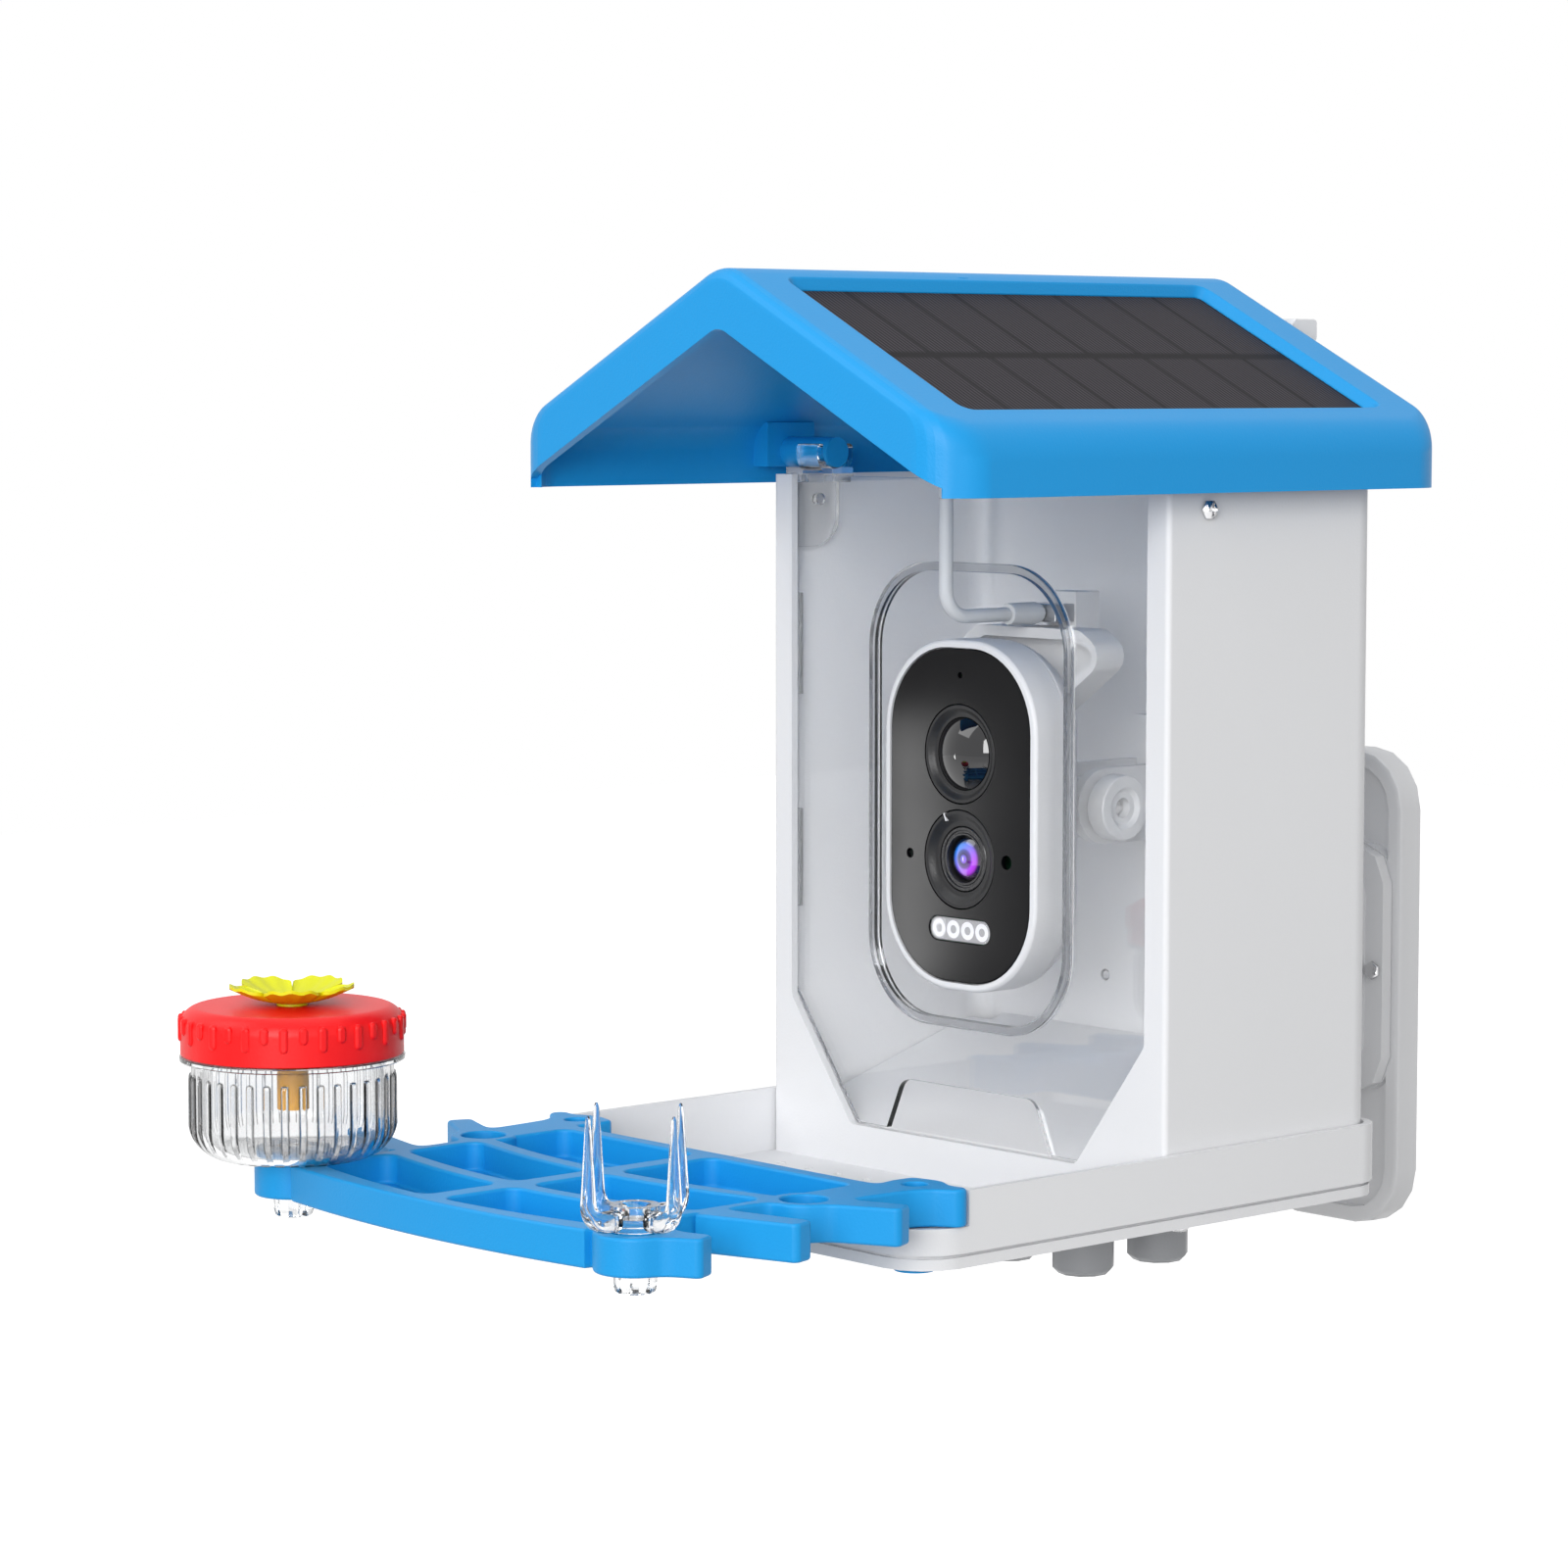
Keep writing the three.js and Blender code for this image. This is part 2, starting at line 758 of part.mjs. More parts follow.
function makeTray() {
  const tub = join([
    upright(trayPlan(0), tray.wallFoot, tray.rimTop),
    upright(trayPlan(tray.grooveDepth), tray.lipTop, tray.wallFoot),
    upright(trayPlan(tray.lipInset), trayBottom, tray.lipTop),
  ]).subtract(upright(trayPlan(tray.wall), 0, tray.rimTop + fit.overrun));
  const notchTop = perchBottom - fit.seat;
  const wide = tray.halfWidth + fit.overrun;
  const notchFront = tray.front - fit.overrun;
  const over = tray.rimTop + fit.overrun;
  const cornerNotch = brick(-wide, wide, notchFront, tray.notchRear, notchTop, over);
  const frontNotch = brick(-perch.postX + perch.postBoss, perch.postX - perch.postBoss,
    notchFront, tray.notchRear, tray.frontWallTop, over);
  const socket = rod(perch.pegRadius + fit.seat + tray.wall, trayBottom, notchTop, 16)
    .translate(perch.postX, perch.postY, 0);
  const bore = rod(perch.pegRadius + fit.seat, trayBottom - fit.overrun, notchTop + fit.overrun, 16)
    .translate(perch.postX, perch.postY, 0);
  const holes = [];
  for (let row = 0; row < tray.drainRows; row += 1) {
    for (let i = 0; i < tray.drainCount; i += 1) {
      const x = (i - (tray.drainCount - 1) / 2) * tray.drainPitch;
      const y = tray.firstDrainRow - row * tray.drainRowPitch;
      holes.push(rod(tray.drainRadius, trayBottom - fit.overrun, fit.overrun, 6).translate(x, y, 0));
    }
  }
  const screwHoles = housePosts.map(([x, y]) =>
    rod(screw.shankRadius + fit.seat, trayBottom - fit.overrun, fit.overrun, 6).translate(x, y, 0));
  const postHoles = flangePosts.map(([x, y]) =>
    rod(screw.shankRadius + fit.seat, trayBottom - fit.overrun, fit.overrun, 6).translate(x, y, 0));
  return tub.subtract(cornerNotch).subtract(frontNotch).add(bothSides(socket)).subtract(bothSides(bore))
    .subtract(join(holes)).subtract(join(screwHoles)).subtract(join(postHoles));
}

// Pole flange under the tray: a chamfered disc with four screw towers
function makeFlange() {
  const top = trayBottom - fit.seat;
  const low = top - flange.thickness;
  const base = turned([
    [0, low], [flange.radius - flange.chamfer, low], [flange.radius, low + flange.chamfer],
    [flange.radius, top], [0, top],
  ], 24).translate(0, flange.y, 0);
  const tower = turned([
    [0, flange.postBottom], [flange.postRadius - flange.postChamfer, flange.postBottom],
    [flange.postRadius, flange.postBottom + flange.postChamfer], [flange.postRadius, top - flange.chamfer],
    [0, top - flange.chamfer],
  ], 10);
  const seatZ = flange.postBottom + flange.boreDepth;
  const bore = rod(screw.headRadius + fit.seat, flange.postBottom - fit.overrun, seatZ, 8)
    .add(rod(screw.shankRadius + fit.seat, flange.postBottom, top + fit.overrun, 6));
  const towers = join(flangePosts.map(([x, y]) => tower.translate(x, y, 0)));
  const bores = join(flangePosts.map(([x, y]) => bore.translate(x, y, 0)));
  return base.add(towers).subtract(bores);
}

function makeFlangeScrew([x, y]) {
  const seat = flange.postBottom + flange.boreDepth - fit.seat;
  return panScrew(trayBottom + tray.floorThickness - seat).rotate([180, 0, 0]).translate(x, y, seat);
}

function makeTrayScrew([x, y]) {
  return panScrew(tray.floorThickness + house.postHeight / 2).rotate([180, 0, 0])
    .translate(x, y, trayBottom - fit.seat);
}

// Roof
// The roof's cross-section at one station: skirt, eave arc, slope, ridge arc and back down
function gableRing(inset, halfWidth, bottom, y, perArc = 3) {
  const apex = roofApex - inset / cosSlope;
  const ridgeRadius = roof.ridgeRadius - inset;
  const eaveRadius = roof.eaveRadius - inset;
  const side = halfWidth - inset;
  const points = [new THREE.Vector3(side, y, bottom)];
  const eaveX = side - eaveRadius;
  const eaveZ = apex - tanSlope * eaveX - eaveRadius / cosSlope;
  for (let i = 0; i <= perArc; i += 1) {
    const angle = (Math.PI / 2 - roof.slope) * i / perArc;
    const [x, z] = [eaveX + eaveRadius * Math.cos(angle), eaveZ + eaveRadius * Math.sin(angle)];
    points.push(new THREE.Vector3(x, y, z));
  }
  const ridgeZ = apex - ridgeRadius / cosSlope;
  for (let i = 0; i < perArc; i += 1) {
    const angle = roof.slope * (1 - i / perArc);
    points.push(new THREE.Vector3(ridgeRadius * Math.sin(angle), y, ridgeZ + ridgeRadius * Math.cos(angle)));
  }
  const left = points.map((p) => new THREE.Vector3(-p.x, p.y, p.z)).reverse();
  points.push(new THREE.Vector3(0, y, ridgeZ + ridgeRadius));
  return points.concat(left);
}

// How far a rounded edge lies below its full height at a depth from its start
function arcFall(radius, depth) {
  const left = Math.max(radius - depth, 0);
  return radius - Math.sqrt(radius ** 2 - left ** 2);
}

// Stations from the front end to the rear end, with the edge and plan corners rounded
function gableLoft(inset, front, rear, edgeRadius, cornerRadius, bottom) {
  const near = roof.edgeShares.map((share) => share * edgeRadius)
    .concat(roof.cornerShares.map((share) => edgeRadius + (cornerRadius - edgeRadius) * share));
  const section = (depth, y) => {
    const edge = arcFall(edgeRadius, depth);
    const cut = arcFall(cornerRadius, depth);
    return gableRing(inset + edge, roof.halfWidth - cut + edge, bottom, y);
  };
  const frontRings = near.map((depth) => section(depth, front + depth));
  const rearRings = near.map((depth) => section(depth, rear - depth)).reverse();
  return loft(frontRings.concat(rearRings));
}

// Moves something drawn flat about the panel's middle onto the right slope, sunk by a depth
function onSlope(part, depth) {
  const degrees = THREE.MathUtils.radToDeg(roof.slope);
  const surface = roofApex - tanSlope * solar.middleX;
  return part.translate(0, 0, -depth).rotate([0, degrees, 0])
    .translate(solar.middleX, solar.middleY, surface);
}

function panelBlock(growth, low, high) {
  return upright(box2(-solar.width / 2 - growth, solar.width / 2 + growth,
    -solar.length / 2 - growth, solar.length / 2 + growth, solar.corner + growth), low, high);
}

function makeRoof() {
  const shell = gableLoft(0, roof.front, roof.rear, roof.edgeRadius, roof.cornerRadius, roofBottom);
  const cavity = gableLoft(roof.wall, roof.front + roof.wall, roof.rear - roof.wall,
    roof.wall, roof.cornerRadius - roof.wall, roofBottom - fit.overrun);
  const openApex = ridge - roof.fasciaDepth + roof.openingCorner * (1 / cosSlope - 1);
  const openSide = roof.halfWidth - roof.openingInset;
  const mouth = alongY(outline([
    corner(-openSide, roofBottom - fit.overrun), corner(openSide, roofBottom - fit.overrun),
    corner(openSide, openApex - tanSlope * openSide), corner(0, openApex, roof.openingCorner),
    corner(-openSide, openApex - tanSlope * openSide),
  ]), roof.front - fit.overrun, roof.front + roof.wall + fit.overrun);
  const sunk = solar.recess + solar.thickness + fit.seat;
  const pocket = onSlope(panelBlock(roof.wall, -roof.wall, 0), sunk).add(
    onSlope(panelBlock(roof.wall, 0, sunk - roof.wall / 2), sunk));
  const bevelRings = [
    [-sunk, fit.seat], [-solar.recess, fit.seat], [0, solar.bevel], [fit.overrun, solar.bevel],
  ];
  const recess = onSlope(loft(bevelRings.map(([z, growth]) => ringOf(solar.width / 2 + growth,
    solar.length / 2 + growth, solar.corner + growth, 2, (x, y) => new THREE.Vector3(x, y, z)))), 0);
  const lugBottom = hingeZ - hinge.pinRadius;
  const half = roof.wall / 2;
  const midWall = gableLoft(half, roof.front + half, roof.rear - half, roof.edgeRadius - half,
    roof.cornerRadius - half, roofBottom);
  const lug = brick(hinge.lugInner, roof.halfWidth, hinge.y - hinge.lugHalfWidth,
    hinge.y + hinge.lugHalfWidth, lugBottom, lugBottom + hinge.lugHeight).intersect(midWall);
  const trunnion = rodX(hinge.pinRadius, hinge.pinInner, hinge.lugInner + fit.overrun, 16)
    .translate(0, hinge.y, hingeZ);
  const spout = rod(chimney.radius, chimneyBottom, ridge - roof.wall / 2, 12).translate(cord.x, cord.y, 0);
  const wire = rod(cord.radius + fit.seat, chimneyBottom - fit.overrun, chimneyBottom + chimney.radius, 12)
    .translate(cord.x, cord.y, 0);
  return shell.subtract(cavity).subtract(mouth).add(pocket).subtract(recess)
    .add(bothSides(lug.add(trunnion))).add(spout).subtract(wire);
}

function makeSolarPanel() {
  return onSlope(panelBlock(0, 0, solar.thickness), solar.recess + solar.thickness);
}

function makeGland() {
  const high = chimneyBottom - fit.seat;
  const low = high - chimney.glandLength;
  const bore = cord.radius + fit.seat;
  const outer = chimney.radius * chimney.glandOuterShare;
  return turned([
    [bore, low], [chimney.radius * chimney.glandInnerShare, low],
    [outer, low + chimney.glandLength * chimney.glandTaperShare], [outer, high], [bore, high], [bore, low],
  ], 12).translate(cord.x, cord.y, 0);
}

// Lift tab on the rear fascia
function makeLiftTab() {
  const front = roof.rear + fit.seat;
  const rear = roof.rear + liftTab.depth;
  const top = ridge - liftTab.belowRidge;
  const bottom = top - liftTab.height;
  const under = top - liftTab.thickness - liftTab.chamfer;
  return alongX(outline([
    corner(front, bottom), corner(front + liftTab.thickness, bottom),
    corner(front + liftTab.thickness, under, liftTab.thickness), corner(rear, under, liftTab.thickness / 2),
    corner(rear, top, liftTab.thickness / 2), corner(front + liftTab.chamfer, top),
    corner(front, top - liftTab.chamfer),
  ]), -liftTab.halfWidth, liftTab.halfWidth);
}

// Solar cable: an upper run that hangs from the gland
function makeCableDrop() {
  return rod(cord.radius, cableSplit + fit.seat / 2, chimneyBottom - fit.seat, 8)
    .translate(cord.x, cord.y, 0);
}

// Its lower run, which bends in over the camera and into the boot
function makeCableElbow() {
  const top = new THREE.Vector3(cord.x, cord.y, cableSplit - fit.seat / 2);
  const bendTop = new THREE.Vector3(cord.x, cord.y, cableLow + cord.bend);
  const bendEnd = new THREE.Vector3(cord.x, cord.y + cord.bend, cableLow);
  const elbow = new THREE.Vector3(cord.x, cord.y, cableLow);
  const end = new THREE.Vector3(cord.x, cord.bootFront - fit.seat, cableLow);
  const path = new THREE.CurvePath();
  path.add(new THREE.LineCurve3(top, bendTop));
  path.add(new THREE.QuadraticBezierCurve3(bendTop, elbow, bendEnd));
  path.add(new THREE.LineCurve3(bendEnd, end));
  const geometry = new THREE.ExtrudeGeometry(disc(0, 0, cord.radius), {
    steps: 14, extrudePath: path, curveSegments: 1, bevelEnabled: false,
  });
  return solid(geometry);
}

function makeBoot() {
  return facingFront(turned([
    [0, -cord.bootRear], [cord.bootRadius * cord.bootNoseShare, -cord.bootRear],
    [cord.bootRadius, -cord.bootRear + cord.radius], [cord.bootRadius, -cord.bootFront], [0, -cord.bootFront],
  ], 12)).translate(cord.x, 0, cableLow);
}

function makePlug() {
  const z = cableLow;
  const body = brick(-cord.plugHalfWidth, cord.plugHalfWidth, cord.bootRear + fit.seat, cord.plugRear,
    z - cord.plugHalfHeight, z + cord.plugHalfHeight);
  const tip = brick(-cord.tipHalfWidth, cord.tipHalfWidth, cord.plugRear - fit.overrun, cord.tipRear,
    z - cord.tipHalfHeight, z + cord.tipHalfHeight);
  return body.add(tip).translate(cord.x, 0, 0);
}

// Camera
function cameraRing(inset, y) {
  return ringOf(cam.halfWidth - inset, cam.halfHeight - inset, cam.corner - inset, 4,
    (x, z) => new THREE.Vector3(x, y, cameraMiddle + z));
}

function makeCameraShell() {
  const round = cam.frontRound;
  const outer = loft([[round, 0], [round * cam.frontRoundShare, round * cam.frontRoundShare], [0, round],
    [0, cam.bandDepth]].map(([inset, depth]) => cameraRing(inset, cam.front + depth)));
  const faceRoom = loft([cam.front - fit.overrun, cam.front + cam.faceThickness]
    .map((y) => cameraRing(cam.faceInset, y)));
  const ledge = loft([cam.front, cam.front + cam.faceThickness * 2]
    .map((y) => cameraRing(cam.faceInset + cam.wall, y)));
  const room = loft([cam.front + cam.faceThickness * 2, bandRear + fit.overrun]
    .map((y) => cameraRing(cam.wall, y)));
  return outer.subtract(faceRoom).subtract(ledge).subtract(room);
}

// The rear cover draws in towards a flat seat for the yoke
function rearCoverRings(wall, from, to) {
  const rings = [];
  const steps = 4;
  for (let i = 0; i <= steps; i += 1) {
    const share = i / steps;
    const y = from + (to - from) * share;
    const reach = THREE.MathUtils.clamp((y - bandRear) / (cam.rear - bandRear), 0, 1);
    rings.push(cameraRing(wall + cam.rearInset * reach ** cam.rearCurveShare, y));
  }
  return rings;
}

function makeCameraBack() {
  const start = bandRear + fit.seat;
  const cover = loft(rearCoverRings(0, start, cam.rear));
  const room = loft(rearCoverRings(cam.wall, start - fit.overrun, cam.rear - cam.wall));
  const nutBoss = facingFront(rod(bracket.nutRadius, -cam.rear, -cam.rear + bracket.nutRadius, 12))
    .translate(0, 0, cameraScrewZ);
  const nutBore = facingFront(rod(bracket.boltRadius + fit.seat, -cam.rear - fit.overrun,
    -cam.rear + bracket.nutRadius + fit.overrun, 12)).translate(0, 0, cameraScrewZ);
  return cover.subtract(room).add(nutBoss).subtract(nutBore);
}

function makeCameraFace() {
  const front = cam.front + fit.seat;
  const back = cam.front + cam.faceThickness - fit.seat;
  const plateFace = loft([front, back].map((y) => cameraRing(cam.faceInset + fit.seat, y)));
  const throughFace = (radius, x, z, segments = 8) =>
    facingFront(rod(radius, -back - fit.overrun, -front + fit.overrun, segments))
      .translate(x, 0, cameraMiddle + z);
  const ledRoom = alongY(capsule([-eye.ledHalfLength + eye.ledHalfWidth, cameraMiddle + eye.ledHeight],
    [eye.ledHalfLength - eye.ledHalfWidth, cameraMiddle + eye.ledHeight],
    eye.ledHalfWidth + fit.seat, eye.ledHalfWidth + fit.seat), front - fit.overrun, back + fit.overrun);
  return plateFace.subtract(join([
    throughFace(eye.pirRing + fit.seat, 0, eye.pirHeight, 16),
    throughFace(eye.lensRing + fit.seat, 0, eye.lensHeight, 16),
    throughFace(eye.micRadius, 0, eye.micHeight),
    ...eye.holes.map(([x, z, radius]) => throughFace(radius, x, z)),
    ledRoom,
  ]));
}

// A collar round an opening in the face: it sinks in towards its middle
function faceCollar(outer, inner, z) {
  const front = -cam.front - fit.seat;
  const back = front - cam.faceThickness - eye.ringDepth;
  return facingFront(turned([
    [inner, back], [outer - eye.ringDepth, back], [outer, back + eye.ringDepth], [outer, front],
    [outer - eye.ringDepth, front], [inner + eye.ringDepth, front - eye.ringDepth],
    [inner, front - eye.ringDepth], [inner, back],
  ], 16)).translate(0, 0, cameraMiddle + z);
}

function dome(radius, rise, thickness, base) {
  const points = [[0, base - thickness], [radius, base - thickness], [radius, base]];
  const ball = (radius ** 2 + rise ** 2) / (2 * rise);
  const reach = Math.asin(radius / ball);
  const steps = 3;
  for (let i = 1; i <= steps; i += 1) {
    const angle = reach * (1 - i / steps);
    points.push([i === steps ? 0 : ball * Math.sin(angle), base + rise - ball * (1 - Math.cos(angle))]);
  }
  return turned(points, 16);
}

function makePirLens() {
  const base = -cam.front - fit.seat - eye.ringDepth;
  return facingFront(dome(eye.pirDome - fit.seat, eye.pirRise, eye.ringDepth, base))
    .translate(0, 0, cameraMiddle + eye.pirHeight);
}

function makeLensBarrel() {
  const front = -cam.front - fit.seat - eye.ringDepth;
  const back = front - cam.bandDepth / 2;
  const outer = eye.lensBarrel - fit.seat;
  const inner = eye.lensGlass + fit.seat;
  return facingFront(turned([
    [0, back], [outer, back], [outer, front], [inner + eye.ringDepth, front], [inner, front - eye.ringDepth],
    [inner, front - eye.ringDepth * 2], [0, front - eye.ringDepth * 2],
  ], 16)).translate(0, 0, cameraMiddle + eye.lensHeight);
}

function makeCameraLens() {
  const base = -cam.front - fit.seat - eye.ringDepth * 2;
  return facingFront(dome(eye.lensGlass, eye.ringDepth, eye.ringDepth - fit.seat, base))
    .translate(0, 0, cameraMiddle + eye.lensHeight);
}

function makeLedWindow() {
  const z = cameraMiddle + eye.ledHeight;
  const half = eye.ledHalfLength - eye.ledHalfWidth;
  return alongY(capsule([-half, z], [half, z], eye.ledHalfWidth, eye.ledHalfWidth),
    cam.front + fit.seat, cam.front + fit.seat + eye.ledThickness);
}

function makeCameraBoard() {
  return loft([board.y, board.y + board.thickness].map((y) => cameraRing(cam.wall + fit.seat, y)));
}

function makeBatteryCell() {
  const half = cell.length / 2;
  const y = board.y + board.thickness + fit.seat + cell.radius;
  const tip = cell.radius * cell.tipShare;
  return turned([[0, -half], [cell.radius, -half], [cell.radius, half], [tip, half],
    [tip, half + fit.overrun], [0, half + fit.overrun]], 12).translate(0, y, cameraMiddle);
}

// Yoke behind the camera: a pick-shaped cup, a stem and a hub on the tilt axis
function yokeOutline(inset) {
  const at = (height) => pivotZ + height;
  return outline([
    corner(-yoke.neckHalfWidth + inset, at(yoke.neckAbovePivot) + inset),
    corner(yoke.neckHalfWidth - inset, at(yoke.neckAbovePivot) + inset),
    corner(yoke.shoulderHalfWidth - inset, at(yoke.shoulderAbovePivot), yoke.corner - inset),
    corner(yoke.topHalfWidth - inset, at(yoke.topAbovePivot) - inset, yoke.corner - inset),
    corner(-yoke.topHalfWidth + inset, at(yoke.topAbovePivot) - inset, yoke.corner - inset),
    corner(-yoke.shoulderHalfWidth + inset, at(yoke.shoulderAbovePivot), yoke.corner - inset),
  ]);
}

function makeYoke() {
  const cup = alongY(yokeOutline(0), cupBack - yoke.plateThickness - yoke.cupDepth, cupBack)
    .subtract(alongY(yokeOutline(yoke.cupWall), 0, cupBack - yoke.plateThickness));
  const stem = brick(-yoke.stemHalfWidth, yoke.stemHalfWidth, cupBack - yoke.plateThickness, cupBack,
    pivotZ - yoke.hubRadius, pivotZ + yoke.neckAbovePivot + yoke.cupWall);
  const block = brick(-yoke.stemHalfWidth, yoke.stemHalfWidth, cupBack - yoke.plateThickness, yoke.pivotY,
    pivotZ - yoke.hubRadius, pivotZ + yoke.hubRadius);
  const hub = rodX(yoke.hubRadius, -yoke.stemHalfWidth, yoke.stemHalfWidth, 24)
    .translate(0, yoke.pivotY, pivotZ);
  const bore = rodX(bracket.boltRadius + fit.running, -yoke.stemHalfWidth - fit.overrun,
    yoke.stemHalfWidth + fit.overrun, 16).translate(0, yoke.pivotY, pivotZ);
  const cupTop = pivotZ + yoke.topAbovePivot;
  const portRear = cord.tipRear + fit.seat + yoke.cupWall;
  const portTop = cableLow + cord.plugHalfHeight + fit.seat + yoke.cupWall;
  const portSide = cord.plugHalfWidth + fit.seat;
  const port = brick(-portSide, portSide, cord.plugRear + fit.seat, portRear, cupTop - yoke.cupWall, portTop)
    .add(brick(-cord.plugHalfWidth, cord.plugHalfWidth, cupBack - yoke.plateThickness, portRear,
      cupTop - yoke.cupWall * 2, cupTop - fit.seat));
  const tipSide = cord.tipHalfWidth + fit.seat;
  const portRoom = brick(-tipSide, tipSide, 0, cord.tipRear + fit.seat,
    cableLow - cord.tipHalfHeight - fit.seat, cableLow + cord.tipHalfHeight + fit.seat);
  const screwHole = facingFront(rod(bracket.boltRadius + fit.seat, -cupBack - fit.overrun, -cam.rear, 16))
    .translate(0, 0, cameraScrewZ);
  const cameraRoom = loft(rearCoverRings(-fit.seat, bandRear, cam.rear + fit.seat));
  return join([cup, stem, block, hub, port]).subtract(bore).subtract(portRoom).subtract(screwHole)
    .subtract(cameraRoom);
}

// Bracket on the rear wall: a base plate and two ears that hold the tilt bolt
function makeBracket() {
  const wallFace = house.depth - house.wall - fit.seat;
  const front = wallFace - bracket.plateThickness;
  const base = alongY(box2(-bracket.plateHalfWidth, bracket.plateHalfWidth, pivotZ - bracket.plateHalfHeight,
    pivotZ + bracket.plateHalfHeight, bracket.plateHalfWidth / 2), front, wallFace);
  const inner = yoke.stemHalfWidth + fit.running;
  const ear = alongX(capsule([front, pivotZ], [yoke.pivotY, pivotZ], bracket.earRadius, bracket.earRadius),
    inner, inner + bracket.earThickness, 4)
    .intersect(brick(0, house.halfWidth, 0, wallFace, 0, house.height));
  const bore = rodX(bracket.boltRadius + fit.running, -house.halfWidth, house.halfWidth, 16)
    .translate(0, yoke.pivotY, pivotZ);
  const holes = join(bracketScrewHeights.map((z) =>
    facingFront(rod(screw.shankRadius + fit.seat, -wallFace - fit.overrun, 0, 12)).translate(0, 0, z)));
  return base.add(bothSides(ear)).subtract(bore).subtract(holes);
}

function makeTiltBolt() {
  const left = -earOutside - fit.running - bracket.nutThickness - fit.seat;
  return rodX(bracket.boltRadius, left, earOutside + fit.running + bracket.knobThickness / 2, 16)
    .translate(0, yoke.pivotY, pivotZ);
}

function makeTiltKnob() {
  const low = earOutside + fit.running;
  const high = low + bracket.knobThickness;
  const recess = high - bracket.knobRecessDepth;
  const end = low + bracket.knobThickness / 2 + fit.seat;
  const bolt = bracket.boltRadius + fit.seat;
  return turned([
    [bolt, low], [bracket.knobRadius * bracket.knobFootShare, low], [bracket.knobRadius, low + fit.overrun],
    [bracket.knobRadius, high - fit.seat], [bracket.knobRadius - fit.seat, high],
    [bracket.knobRecess, high], [bracket.knobRecess - bracket.knobRecessDepth, recess],
    [bracket.knobBore, recess], [bracket.knobBore, end], [bolt, end], [bolt, low],
  ], 16).rotate([0, 90, 0]).translate(0, yoke.pivotY, pivotZ);
}

function makeTiltNut() {
  const left = -earOutside - fit.running - bracket.nutThickness;
  const thread = rodX(bracket.boltRadius + fit.seat, left - fit.overrun, 0, 16);
  return rodX(bracket.nutRadius, left, left + bracket.nutThickness, 6).subtract(thread)
    .translate(0, yoke.pivotY, pivotZ);
}

function makeCameraScrew() {
  return facingFront(rod(bracket.nutRadius, -cupBack - fit.seat - screw.headHeight, -cupBack - fit.seat, 12)
    .add(rod(bracket.boltRadius, -cupBack - fit.seat, -cam.rear + bracket.nutRadius, 12)))
    .translate(0, 0, cameraScrewZ);
}

// Perch tray: a wing-shaped frame of ribs with sunk pockets, fingers, sockets and hooks
function sagging(middle, x) {
  return middle + perch.rowSag * (x / perch.sideHalfWidth) ** 2;
}

function pocket(rowRear, rowFront, straightRear) {
  const left = perch.centreRib / 2;
  const right = perch.sideHalfWidth - perch.sideRib;
  const steps = 3;
  const points = [];
  for (let i = 0; i <= steps; i += 1) {
    const x = left + (right - left) * i / steps;
    points.push(corner(x, sagging(rowFront, x), i % steps === 0 ? perch.pocketCorner : 0));
  }
  for (let i = steps; i >= 0; i -= 1) {
    const x = left + (right - left) * i / steps;
    const y = straightRear ? rowRear : sagging(rowRear, x);
    if (!straightRear || i % steps === 0) points.push(corner(x, y, i % steps === 0 ? perch.pocketCorner : 0));
  }
  return outline(points);
}

function perchBody() {
  const side = perch.sideHalfWidth;
  const frontSteps = 10;
  const points = [corner(side, perch.backEdge, perch.pocketCorner)];
  points.push(corner(-side, perch.backEdge, perch.pocketCorner));
  for (let i = 0; i <= frontSteps; i += 1) {
    const x = -perch.frontHalfWidth + 2 * perch.frontHalfWidth * i / frontSteps;
    const bow = (perch.frontSide - perch.frontMiddle) * (x / perch.frontHalfWidth) ** 2;
    points.push(corner(x, perch.frontMiddle + bow));
  }
  return outline(points);
}

